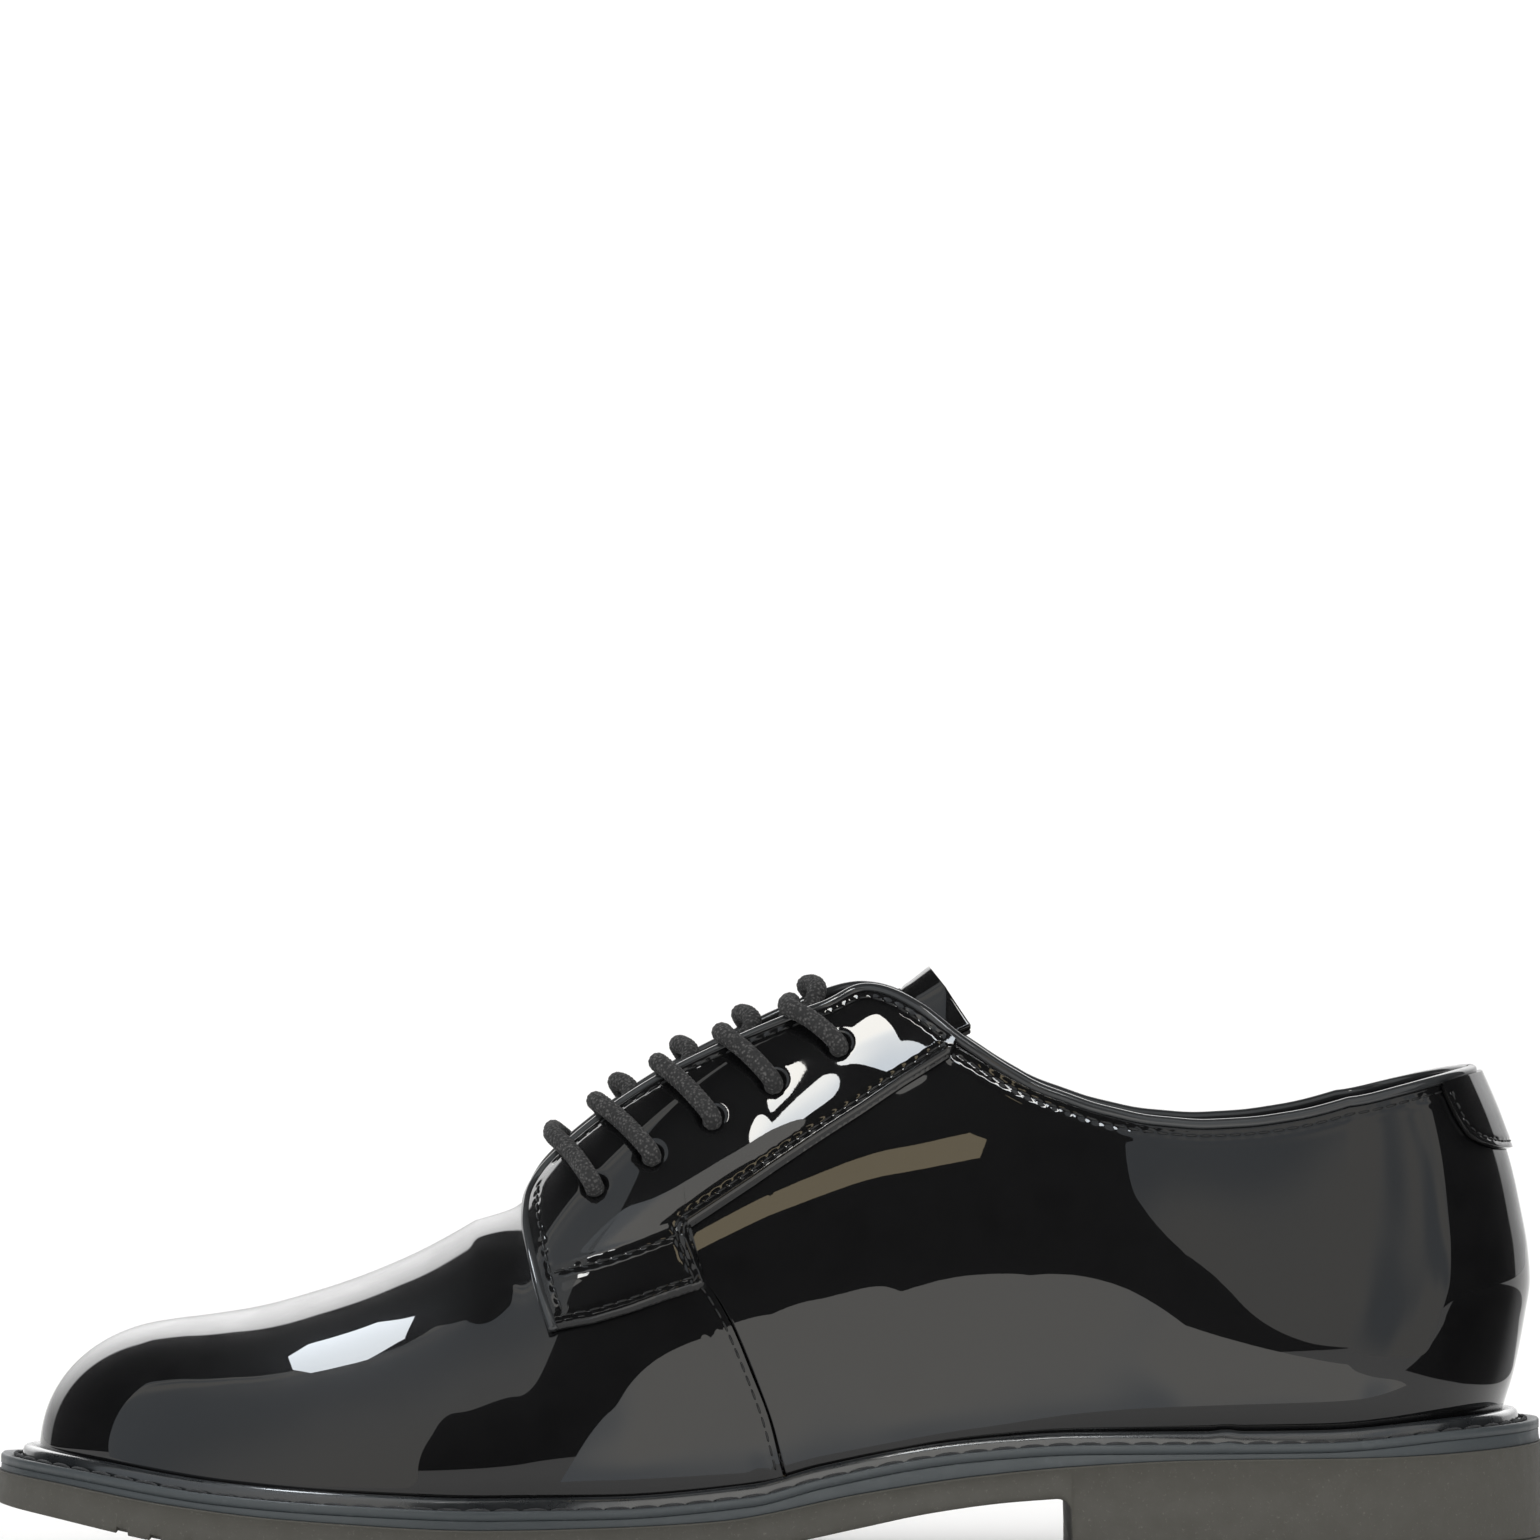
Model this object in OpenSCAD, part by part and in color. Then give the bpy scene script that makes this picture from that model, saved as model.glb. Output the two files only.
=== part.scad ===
// Right shoe of patent leather: open-laced plain-toe shoe on a welted rubber sole.
// X runs from the toe (-) to the heel (+), the inner side of the foot is at -Y, Z is up.

/* [Sole] */
// Thickness of the wear piece under the heel
heel_lift_h = 4; // [3:0.5:4]
// How far the welt stands out beyond the upper at the toe
welt_out_toe = 7.5; // [6:0.5:8.5]
// How far the welt stands out beyond the upper along the sides and the heel
welt_out_side = 5.5; // [4.5:0.5:6.5]
// How much wider the sole is at the ground than at the welt, on each side
sole_flare = 1.2; // [0.5:0.1:2]
// Thickness of the welt strip
welt_h = 1.8; // [1.4:0.1:2.2]
// Height of the raised bead above the welt
bead_h = 2.3; // [1.6:0.1:2.8]

/* [Upper] */
// Thickness of the patent leather
leather_t = 1.3; // [1:0.1:1.4]
// Thickness of the lining leather
lining_t = 0.8; // [0.6:0.1:1]
// Thickness of the toe puff, the interlinings and the heel counter
stiffener_t = 1; // [0.8:0.1:1.1]
// Half of the gap between the two facings at the middle of the lacing
lace_gap = 7; // [5:0.5:9]
// Diameter of the rolled binding along the edges
binding_d = 2.1; // [1.8:0.1:2.4]

/* [Lacing] */
// Diameter of the round lace
lace_d = 3.8; // [3:0.1:4]
// Diameter of the bore in each eyelet
eyelet_bore = 4.2; // [4:0.1:4.6]
// Diameter of the flange of each eyelet
eyelet_flange = 7; // [6:0.5:8]

/* [Tongue] */
// Thickness of the tongue's outer leather
tongue_t = 1.2; // [1:0.1:1.4]
// Distance from the facings' outer face down to the tongue, beside the laces
tongue_depth = 10.3; // [10:0.1:10.6]

/* [Hidden] */

// ---- Shape of the last, as curves along X ----

// Tip of the upper, and where its straight sections end and the round heel begins
toe_tip = -143.2;
heel_s = 112;
// Length of the heel's round in the surface's own coordinate s
heel_arc = 50;
// Sideways move that centres the whole shoe on Y = 0
centre_shift = 0.8;

// Edge of the upper where it meets the welt: inner side, outer side, and ridge between them
edge_inner = [[-143, -38], [-123, -42], [-103, -45], [-83, -47.5], [-65, -48], [-48, -46],
    [-30, -41.5], [0, -32.5], [25, -28], [50, -28.5], [80, -31], [112, -31.5]];
edge_outer = [[-143, 27], [-123, 32], [-103, 37], [-83, 42], [-65, 45], [-45, 46.5],
    [-25, 45.5], [0, 41.5], [25, 37], [50, 33.5], [80, 31.5], [112, 31.5]];
ridge_y = [[-143, -6], [-100, -5], [-60, -3], [-20, -1], [30, 0], [112, 0]];
// Height of the ridge; behind the lacing it is the line that the leg would take
ridge_z = [[-144, 46.5], [-120, 46.5], [-104, 48.2], [-88, 52.2], [-72, 58.2], [-57, 66.2],
    [-49.5, 71], [-44, 77.5], [-38, 83], [-23, 94], [-5, 104.2], [14, 113.5], [30, 120],
    [60, 134], [112, 157]];
// Squareness of the sections: 2 is an ellipse, more is boxier, less is more peaked
section_power = [[-143, 2.1], [-110, 2.15], [-80, 2], [-50, 1.85], [0, 1.8], [40, 1.85],
    [112, 1.9]];
// Bulge of the sides over the welt, and the height at which it is widest
belly = [[-143, 1], [-90, 2], [-50, 2.5], [0, 1.5], [40, 2], [80, 3.5], [112, 4]];
belly_z = 20;
// Rounding of the toe, in side view and in plan
nose_side = [30, 2.2];
nose_plan = [56, 2.05];
// Back of the heel, X by Z
heel_back = [[24, 142.5], [30, 144], [36, 145.8], [47, 148], [54, 149], [60, 148.6],
    [68, 147.2], [77, 145.2], [86, 142.2], [97, 137.5]];

// ---- Levels of the sole, Z by X ----

welt_z = [[-152, 20.6], [-136, 18.6], [-106, 14.3], [-80, 12.4], [-53, 11.4], [-32, 11.4],
    [-4, 13.3], [10, 16.7], [38, 21.6], [60, 23.2], [106, 23.7], [133, 25.9], [152, 27]];
parting_z = [[-152, 17.4], [-139, 15.9], [-117, 12.5], [-92, 9.8], [-53, 7.8], [-32, 8],
    [-11, 8.8], [17, 13.7], [40, 17.2], [60, 19.2], [81, 20.4], [119, 21], [152, 22.6]];
ground_z = [[-153, 11.2], [-140, 9.2], [-121, 5.7], [-100, 2.2], [-80, 0.4], [-70, 0],
    [-26, 0], [3, 4.3], [17, 7.1], [31, 10], [45, 12], [56, 12.9]];
heel_breast = 58;
// Rise of the sock liner over the heel pad
pad_rise = [[48, 0], [64, 1.6], [152, 1.6]];
// How far the welt stands out beyond the upper, by X
welt_out = [[-152, welt_out_toe], [-120, welt_out_toe - 1], [-80, welt_out_side],
    [20, welt_out_side - 1], [60, welt_out_side], [120, welt_out_side], [144, welt_out_side + 1.7]];

// ---- Layers of the upper, as offsets from its outer face ----

gap = 0.3;
vamp_layer = [-leather_t, 0];
quarter_layer = [-leather_t - gap, -gap];
stiffener_layer = [-leather_t - 2 * gap - stiffener_t, -leather_t - 2 * gap];
lining_layer = [stiffener_layer[0] - gap - lining_t, stiffener_layer[0] - gap];
facing_layer = [gap, gap + leather_t - 0.1];
heel_tab_layer = [0, 1];
tongue_layer = [-tongue_depth - tongue_t, -tongue_depth];
tongue_lining_layer = [tongue_layer[0] - 1, tongue_layer[0] - 0.2];

// ---- Outlines on the side of the shoe, as [X, Z] ----

// Seam between vamp and quarter, from the welt up to the throat
seam = [[3, 14], [2, 18], [-0.5, 28], [-4.2, 37.6], [-8.2, 47], [-12.5, 54], [-20, 59.5],
    [-30, 63.5], [-40, 66.5]];
// Edge of the facing's tab and of the facing, below the eyelets
facing_foot = [[-42, 45.3], [-34.5, 46.7], [-27, 48.8], [-19.5, 51.4], [-12.3, 53.6],
    [-14.4, 59], [-16.6, 64.3], [-8, 69.9], [0.5, 75.6], [9, 81.2], [17.5, 86.6], [26, 92.3],
    [34.5, 97.6]];
// Front edge of the tab
facing_front = [[-42, 45.3], [-44.4, 51.4], [-46.4, 59], [-47.8, 65], [-47.6, 69.5]];
// Topline from the top of the facing round to the back
topline = [[17, 110.6], [22.5, 109.8], [28, 107.2], [36, 101.4], [44, 96.6], [52, 92.4],
    [62, 88.8], [72, 86.4], [83, 85.4], [94, 86], [104, 87.6], [114, 90], [122, 92], [128.5, 93.6],
    [133.5, 94.8], [136.7, 95.4], [138, 95.6]];
// Eyelets along the facing
eyelets = [[-34.2, 72], [-23.4, 78], [-11.7, 85.1], [0.3, 92], [13, 99.2]];

// ---- Tucked ends of the lace, from inside the top eyelet down onto the sock liner ----

end_inner = [[14, -11.1, 91.5], [14.8, -13, 86], [16.5, -14.8, 79], [20, -16.6, 71],
    [26, -18.4, 62], [34, -20, 53], [43, -21, 45], [53, -21.4, 38], [65, -20.5, 33.2],
    [79, -19.5, 31.4], [92, -18.5, 31.4], [104, -15.5, 31.4], [111, -7.5, 31.6], [111, 1.5, 31.6],
    [104, 7.5, 31.4], [93, 8.5, 31.4]];
end_outer = [[14, 17.2, 92], [14.8, 20, 86], [16.5, 23, 79], [20, 25.8, 71], [26, 27.5, 62],
    [34, 28.5, 53], [43, 28.5, 45], [53, 28, 38], [65, 26, 33.2], [79, 23.5, 31.4],
    [91, 21.5, 31.4], [103, 18.5, 31.4], [113, 13.5, 31.8], [120, 6.5, 32.2], [122.5, -1.5, 32.4]];

// ---- Curves ----

// Index of the stretch of p that holds x
function stretch(p, x, i = 0) = i >= len(p) - 2 || x < p[i + 1][0] ? i : stretch(p, x, i + 1);

// Slope between points i and i + 1, and the smooth slope at point i
function chord(p, i) = (p[i + 1][1] - p[i][1]) / (p[i + 1][0] - p[i][0]);
function slope(p, i) =
    i == 0 ? chord(p, 0) :
    i == len(p) - 1 ? chord(p, i - 1) :
    let (a = chord(p, i - 1), b = chord(p, i)) a * b <= 0 ? 0 : 2 * a * b / (a + b);

// Smooth curve through the points p = [x, value], level beyond its ends
function curve(p, x) =
    let (
        at = min(max(x, p[0][0]), p[len(p) - 1][0]),
        i = stretch(p, at),
        w = p[i + 1][0] - p[i][0],
        t = (at - p[i][0]) / w
    )
    p[i][1] * (1 + 2 * t) * (1 - t) * (1 - t) + p[i + 1][1] * (3 - 2 * t) * t * t
    + w * slope(p, i) * t * (1 - t) * (1 - t) - w * slope(p, i + 1) * t * t * (1 - t);

// Point at t, from 0 to 1, on a smooth line through the points p
function glide(p, t) =
    let (
        n = len(p) - 1,
        i = min(floor(t * n), n - 1),
        f = t * n - i,
        a = p[max(i - 1, 0)],
        b = p[i],
        c = p[i + 1],
        d = p[min(i + 2, n)]
    )
    b + f * ((c - a) / 2 + f * (a - 2.5 * b + 2 * c - d / 2
        + f * (1.5 * b - a / 2 - 1.5 * c + d / 2)));
function glided(p, n) = [for (i = [0:n]) glide(p, i / n)];
function line(a, b, n) = [for (i = [0:n]) a + (b - a) * i / n];
function reversed(p) = [for (i = [len(p) - 1:-1:0]) p[i]];
function without_first(p) = [for (i = [1:len(p) - 1]) p[i]];

// ---- The upper's surface ----
// A place on it is [s, a, side]: s is X up to the round heel and then runs on round it,
// a is an angle from 0 at the welt to 90 at the ridge, and side is -1 for the inner side
// and 1 for the outer side.

function fan(s) = 90 * max(s - heel_s, 0) / heel_arc;
function x_of(s) = min(s, heel_s) + (curve(heel_back, 30) - heel_s) * sin(fan(s));
function rounding(q, nose) =
    pow(1 - pow(1 - min(max(q / nose[0], 0), 1), nose[1]), 1 / nose[1]);
function rise(s, d) =
    (curve(ridge_z, min(s, heel_s)) + d - curve(welt_z, x_of(s)))
    * rounding(s - toe_tip + d, nose_side);

// On the outer face: the angle a of the point at s and height z, and the place of p = [X, Z]
function angle_at(s, z) =
    let (share = (z - curve(welt_z, x_of(s))) / rise(s, 0))
    asin(pow(min(max(share, 0), 1), curve(section_power, min(s, heel_s)) / 2));
function place(p, side) =
    let (
        turn = asin(min(max((p[0] - heel_s) / (curve(heel_back, p[1]) - heel_s), 0), 1)),
        s = p[0] <= heel_s ? p[0] : heel_s + heel_arc * turn / 90
    )
    [s, angle_at(s, p[1]), side];

// The point of the place p, at the offset d from the outer face
function skin(p, d) =
    let (
        s = p[0],
        at = min(s, heel_s),
        power = 2 / curve(section_power, at),
        foot = curve(welt_z, x_of(s)),
        z = foot + rise(s, d) * pow(sin(p[1]), power),
        h = (z - foot) / belly_z,
        mid = curve(ridge_y, at),
        wide = p[2] < 0 ? mid - curve(edge_inner, at) : curve(edge_outer, at) - mid,
        bulge = curve(belly, at) * h * exp(1 - h) * cos(p[1]),
        half = ((wide + d) * pow(cos(p[1]), power) + bulge) * rounding(at - toe_tip + d, nose_plan)
    )
    [
        at + (curve(heel_back, z) + d - heel_s) * sin(fan(s)),
        mid * cos(fan(s)) + p[2] * half * cos(fan(s)) + centre_shift,
        z
    ];

// Outward direction of the surface at the place p
function normal_at(p, d) =
    let (
        along = skin(p + [0.5, 0, 0], d) - skin(p - [0.5, 0, 0], d),
        up = skin(p + [0, 0.5, 0], d) - skin(p - [0, 0.5, 0], d),
        n = cross(along, up) * -p[2]
    )
    n / norm(n);

// Moves the place p down the surface by a distance
function lowered(p, distance) =
    let (up = norm(skin(p + [0, 0.5, 0], 0) - skin(p - [0, 0.5, 0], 0)))
    [p[0], p[1] - distance / up, p[2]];

// ---- Solids ----

// Triangles of a grid of points that has cols x rows, starting at index at
function grid_faces(cols, rows, at, flip) = [
    for (i = [0:cols - 2], j = [0:rows - 2])
        let (a = at + i * rows + j, b = a + rows)
        each flip ? [[a, a + 1, b + 1], [a, b + 1, b]] : [[a, b + 1, a + 1], [a, b, b + 1]]
];

// Triangles that join two rings of indices
function ring_faces(a, b) = [
    for (k = [0:len(a) - 1])
        let (m = (k + 1) % len(a))
        each [[a[k], a[m], b[m]], [a[k], b[m], b[k]]]
];

// A closed sheet between an inner grid and an outer grid, each a list of columns of points
module sheet(inner, outer, flip) {
    cols = len(outer);
    rows = len(outer[0]);
    half = cols * rows;
    rim = concat(
        [for (j = [0:rows - 1]) j],
        [for (i = [1:cols - 1]) i * rows + rows - 1],
        [for (j = [rows - 2:-1:0]) (cols - 1) * rows + j],
        [for (i = [cols - 2:-1:1]) i * rows]
    );
    under = [for (k = rim) k + half];
    polyhedron(
        points = concat([for (c = outer) each c], [for (c = inner) each c]),
        faces = concat(
            grid_faces(cols, rows, 0, flip),
            grid_faces(cols, rows, half, !flip),
            flip ? ring_faces(under, rim) : ring_faces(rim, under)
        )
    );
}

// A leather piece: a grid of places on the upper, between the two offsets of its layer
function raised(grid, d) = [for (c = grid) [for (p = c) skin(p, d)]];
module piece(grid, layer, flip) {
    sheet(raised(grid, layer[0]), raised(grid, layer[1]), flip);
}

// Direction of a path at its point k, and two directions across it at each point
function tube_side(path, k) =
    let (d = path[min(k + 1, len(path) - 1)] - path[max(k - 1, 0)])
    d / norm(d);
function tube_frames(path, k, last) =
    k == len(path) ? [] :
    let (t = tube_side(path, k), u = last - (last * t) * t, n = u / norm(u))
    concat([[n, cross(t, n)]], tube_frames(path, k + 1, n));
// A tube of a diameter along the points of a path
module tube(path, diameter, sides, closed) {
    first = abs(tube_side(path, 0)[2]) < 0.9 ? [0, 0, 1] : [0, 1, 0];
    frames = tube_frames(path, 0, first);
    points = [
        for (k = [0:len(path) - 1], j = [0:sides - 1])
            let (turn = 360 * j / sides, across = frames[k][0] * cos(turn) + frames[k][1] * sin(turn))
            path[k] + across * diameter / 2
    ];
    ring = function(k) [for (j = [0:sides - 1]) k * sides + j];
    last = len(path) - 1;
    polyhedron(
        points = points,
        faces = concat(
            [for (k = [0:last - 1]) each ring_faces(ring(k + 1), ring(k))],
            closed ? ring_faces(ring(0), ring(last)) : concat(
                [for (j = [1:sides - 2]) [0, j, j + 1]],
                [for (j = [1:sides - 2]) [last * sides, last * sides + j + 1, last * sides + j]]
            )
        )
    );
}

// ---- Sole ----

// Stations from the toe to the back of the heel, for an outline at the offset e
toe_end = -100;
toe_steps = 9;
body_stations = [for (x = [-88:12:44]) x, 55, heel_breast, 72, 86, 100];
heel_steps = 9;
heel_stations = [for (k = [0:heel_steps]) heel_s + heel_arc * k / heel_steps];
function stations(e) = concat(
    [for (k = [0:toe_steps]) toe_end - (toe_end - toe_tip + e) * cos(90 * k / toe_steps)],
    body_stations,
    heel_stations
);

// Closed outline round the foot at the offset e(x), with its height from the curve level(x)
function outline(e, level) =
    let (
        list = stations(e(toe_tip)),
        last = len(list) - 1,
        at = function(s, side) let (p = skin([s, 0, side], e(x_of(s)))) [p[0], p[1], level(p[0])]
    )
    concat([for (k = [0:last]) at(list[k], -1)], [for (k = [last - 1:-1:1]) at(list[k], 1)]);

// Indices of the outline number k, of n points
function loop_at(k, n) = [for (j = [0:n - 1]) k * n + j];

// Triangles that close the outline c, from its inner to its outer side
function cap_faces(c) =
    let (n = len(c), half = n / 2)
    concat(
        [[c[0], c[1], c[n - 1]], [c[half - 1], c[half], c[half + 1]]],
        [
            for (k = [1:half - 2])
                each [[c[k], c[k + 1], c[n - k - 1]], [c[k], c[n - k - 1], c[n - k]]]
        ]
    );

// A slab between outlines, listed from the lowest to the highest
module slab(loops) {
    n = len(loops[0]);
    top = len(loops) - 1;
    polyhedron(
        points = [for (loop = loops) each loop],
        faces = concat(
            [for (k = [0:top - 1]) each ring_faces(loop_at(k + 1, n), loop_at(k, n))],
            cap_faces(loop_at(0, n)),
            [for (f = cap_faces(loop_at(top, n))) reversed(f)]
        )
    );
}
function out_at(x) = curve(welt_out, x);
function ground(x) = x < heel_breast - 1 ? curve(ground_z, x) : heel_lift_h;

module outsole() {
    color("#4a4642") slab([
        outline(function(x) out_at(x) + sole_flare - 1, function(x) ground(x)),
        outline(function(x) out_at(x) + sole_flare, function(x) ground(x) + 1),
        outline(
            function(x) out_at(x) + sole_flare * 0.8,
            function(x) (ground(x) + curve(parting_z, x)) / 2
        ),
        outline(function(x) out_at(x) + 0.4, function(x) curve(parting_z, x))
    ]);
}

module heel_lift() {
    loop = outline(function(x) out_at(x) + sole_flare - 0.8, function(x) 0);
    color("#3d3a37") linear_extrude(heel_lift_h)
        polygon([for (p = loop) if (p[0] > heel_breast - 0.5) [p[0], p[1]]]);
}

module midsole() {
    color("#33363b") slab([
        outline(function(x) out_at(x) + 0.2, function(x) curve(parting_z, x)),
        outline(function(x) out_at(x) - 0.2, function(x) curve(welt_z, x) - welt_h - 0.1)
    ]);
}

// Strip round the edge of the upper: a flat welt with a stitch groove and a raised bead inside it
module storm_welt() {
    inside = -6;
    beyond = 9;
    section = [
        [inside, -welt_h], [beyond, -welt_h], [beyond, 0], [3.6, -0.7], [3.1, bead_h * 0.6],
        [2.2, bead_h], [1.1, bead_h * 0.9], [0.5, bead_h * 0.4], [0.4, 0], [inside, 0]
    ];
    loops = [
        for (p = section)
            outline(function(x) min(p[0], out_at(x)), function(x) curve(welt_z, x) + p[1])
    ];
    n = len(loops[0]);
    count = len(loops);
    color("#17181b") polyhedron(
        points = [for (loop = loops) each loop],
        faces = [
            for (k = [0:count - 1]) each ring_faces(loop_at((k + 1) % count, n), loop_at(k, n))
        ]
    );
}

// Lock stitches in the groove of the welt, as one cord
module welt_thread() {
    path = outline(function(x) 4.1, function(x) curve(welt_z, x) + 0.15);
    color("#26282c") tube(path, 0.9, 6, true);
}

// Filler under the forefoot, as far back as the shank
cork_end = 5;
module cork_filler() {
    color("#b58a5c") intersection() {
        slab([
            outline(function(x) -6.4, function(x) curve(welt_z, x) - welt_h + 0.1),
            outline(function(x) -6.4, function(x) curve(welt_z, x))
        ]);
        translate([cork_end - 160, -60, 0]) cube([160, 120, 60]);
    }
}

// Steel strip under the waist
shank_w = 14;
shank_t = 1.3;
module shank() {
    path = [for (x = [12:8:92]) [x, curve(welt_z, x) - welt_h + 0.2]];
    back = reversed([for (p = path) p + [0, shank_t]]);
    color("#9a9da1") translate([0, centre_shift + 1.5 + shank_w / 2, 0]) rotate([90, 0, 0])
        linear_extrude(shank_w) polygon(concat(path, back));
}

module insole_board() {
    color("#a98d68") slab([
        outline(function(x) -4.5, function(x) curve(welt_z, x) + 0.2),
        outline(function(x) -4.5, function(x) curve(welt_z, x) + 2.2)
    ]);
}

// Soft pad under the sock liner at the heel, in rows from side to side
module heel_pad() {
    front = [for (k = [0:5]) 66 + (heel_s - 66) * k / 6];
    at = function(s, side, h) let (p = skin([s, 0, side], -8)) [p[0], p[1], curve(welt_z, p[0]) + h];
    row = function(a, b) [a, (a + b) / 2, b];
    grid = function(h) [for (s = concat(front, heel_stations)) row(at(s, -1, h), at(s, 1, h))];
    color("#d8cdb4") sheet(grid(2.4), grid(3.6), false);
}

module sock_liner() {
    under = function(x) curve(welt_z, x) + 2.4 + curve(pad_rise, x);
    color("#2b2a2c") slab([
        outline(function(x) -5, under),
        outline(function(x) -5, function(x) under(x) + 1.2)
    ]);
}

// ---- Upper ----

// Grid over the vamp: columns from the toe to the seam, rows from the inner to the outer side
vamp_cols = 20;
vamp_rows = 18;
throat = concat([for (p = seam) [place(p, 1)[1], p[0]]], [[90, -45.2]]);
function vamp_grid(tip_offset, cols) = [
    for (i = [0:cols]) [
        for (j = [0:vamp_rows])
            let (
                turn = 180 * j / vamp_rows,
                a = min(turn, 180 - turn),
                start = toe_tip - tip_offset,
                s = start + (curve(throat, a) - start) * (1 - cos(90 * i / vamp_cols))
            )
            [s, a, turn <= 90 ? -1 : 1]
    ]
];
// The vamp dips under the facings behind the throat
vamp_dip = [[-58, 0], [-46, 3.5]];
function vamp_skin(d, cols) = [
    for (c = vamp_grid(d, cols)) [
        for (p = c) skin(p, d - curve(vamp_dip, p[0]) * pow(sin(p[1]), 4))
    ]
];
module vamp_piece(layer, cols) {
    sheet(vamp_skin(layer[0], cols), vamp_skin(layer[1], cols), false);
}

module vamp() {
    color("#141417") vamp_piece(vamp_layer, vamp_cols);
}

module vamp_lining() {
    color("#3a3634") vamp_piece(lining_layer, vamp_cols);
}

// The toe puff reaches as far back as its eighth column
module toe_puff() {
    color("#8d8676") vamp_piece(stiffener_layer, 8);
}

// Top edge of each side: the lace edge at half the gap, then the topline
function gap_at(x) = lace_gap + curve([[-46, 2], [-30, 0], [0, 0.5], [17, 1.5]], x);
function angle_at_gap(x, side) =
    let (
        mid = curve(ridge_y, x),
        wide = side < 0 ? mid - curve(edge_inner, x) : curve(edge_outer, x) - mid
    )
    acos(pow(gap_at(x) / wide, curve(section_power, x) / 2));
function lace_edge(side) = [for (x = [-44:6.2:12]) [x, angle_at_gap(x, side), side]];
function top_edge(side) = concat(lace_edge(side), [for (p = topline) place(p, side)]);

// Grid that blends four edges, each a list of places
function coons(bottom, top, front, back) =
    let (n = len(bottom) - 1, m = len(front) - 1)
    [
        for (i = [0:n]) [
            for (j = [0:m])
                let (u = i / n, v = j / m)
                bottom[i] * (1 - v) + top[i] * v + front[j] * (1 - u) + back[j] * u
                - bottom[0] * (1 - u) * (1 - v) - bottom[n] * u * (1 - v)
                - top[0] * (1 - u) * v - top[n] * u * v
        ]
    ];

quarter_cols = 26;
quarter_rows = 9;
function quarter_grid(side) =
    let (
        back_s = heel_s + heel_arc - 0.3,
        foot = [seam[0][0] + 0.4, 0, side],
        back = [back_s, 0, side],
        top = [for (p = glided(top_edge(side), quarter_cols)) lowered(p, binding_d * 0.6)],
        start = [for (p = seam) place(p, side) + [0.5, 0, 0]],
        front = glided(concat(start, [top[0]]), quarter_rows),
        end = [back_s, top[quarter_cols][1], side]
    )
    coons(
        line(foot, back, quarter_cols),
        concat([for (k = [0:quarter_cols - 1]) top[k]], [end]),
        concat([foot], without_first(front)),
        line(back, end, quarter_rows)
    );

// Moves a shape to the offset d over a place, with its Z axis along the surface's outward direction
module stood_on(p, d) {
    n = normal_at(p, 0);
    translate(skin(p, d)) rotate([0, acos(n[2]), atan2(n[1], n[0])]) children();
}

module eyelet_bores(side, diameter) {
    for (e = eyelets) stood_on(place(e, side), -8) cylinder(h = 14, d = diameter, $fn = 24);
}
bore_room = 1;

module quarter(side) {
    color("#151518") difference() {
        piece(quarter_grid(side), quarter_layer, side > 0);
        eyelet_bores(side, eyelet_bore + bore_room);
    }
}
module quarter_inner() quarter(-1);
module quarter_outer() quarter(1);

module quarter_lining(side) {
    color("#3a3634") difference() {
        piece(quarter_grid(side), lining_layer, side > 0);
        eyelet_bores(side, eyelet_bore + bore_room);
    }
}
module quarter_lining_inner() quarter_lining(-1);
module quarter_lining_outer() quarter_lining(1);

// Cloth behind the front part of the quarter, between its first and its last column here
interlining_part = [1:15];
module interlining(side) {
    grid = quarter_grid(side);
    color("#c9c2b2") difference() {
        piece([for (i = interlining_part) grid[i]], stiffener_layer, side > 0);
        eyelet_bores(side, eyelet_bore + bore_room);
    }
}
module interlining_inner() interlining(-1);
module interlining_outer() interlining(1);

// Stiff cup round the heel, from one side to the other
module heel_counter() {
    list = concat([for (k = [0:2]) 92 + 20 * k / 3], [for (k = [0:10]) heel_s + heel_arc * k / 10]);
    top = [[92, 46], [104, 56], [130, 66], [152, 68]];
    half = function(side) [
        for (s = list) line([s, 0, side], [s, angle_at(s, curve(top, x_of(s))), side], 6)
    ];
    color("#8d8676")
        piece(concat(half(-1), without_first(reversed(half(1)))), stiffener_layer, false);
}

facing_cols = 24;
facing_rows = 8;
// Front top corner of the facing
facing_corner = [-46.6, 72];
function facing_grid(side) =
    let (
        corner = [place(facing_corner, side)],
        rest = [for (k = [0:3]) place(topline[k], side)],
        edge = glided(concat(corner, lace_edge(side), rest), facing_cols),
        top = [for (p = edge) lowered(p, binding_d * 0.6)],
        foot = [for (p = glided(facing_foot, facing_cols)) place(p, side)],
        front = glided(concat([for (p = facing_front) place(p, side)], [top[0]]), facing_rows)
    )
    coons(foot, top, front, line(foot[facing_cols], top[facing_cols], facing_rows));
module facing(side) {
    color("#1a1a1e") difference() {
        piece(facing_grid(side), facing_layer, side > 0);
        eyelet_bores(side, eyelet_bore);
    }
}
module facing_inner() facing(-1);
module facing_outer() facing(1);

// Patch over the back seam, from the topline down to its rounded foot [s, Z]
tab_foot = [[135, 91], [136.5, 86], [139, 82.5], [143, 80.8], [150, 79.8], [162, 79.5]];
tab_columns = [135, 135.6, 136.5, 138, 140.5, 144, 149, 155, heel_s + heel_arc];
module heel_tab() {
    edge = [for (p = topline) let (q = place(p, 1)) [q[0], lowered(q, binding_d * 0.6)[1]]];
    half = function(side) [
        for (s = tab_columns)
            line([s, angle_at(s, curve(tab_foot, s)), side], [s, curve(edge, s), side], 3)
    ];
    color("#1a1a1e")
        piece(concat(half(-1), without_first(reversed(half(1)))), heel_tab_layer, false);
}

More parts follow.
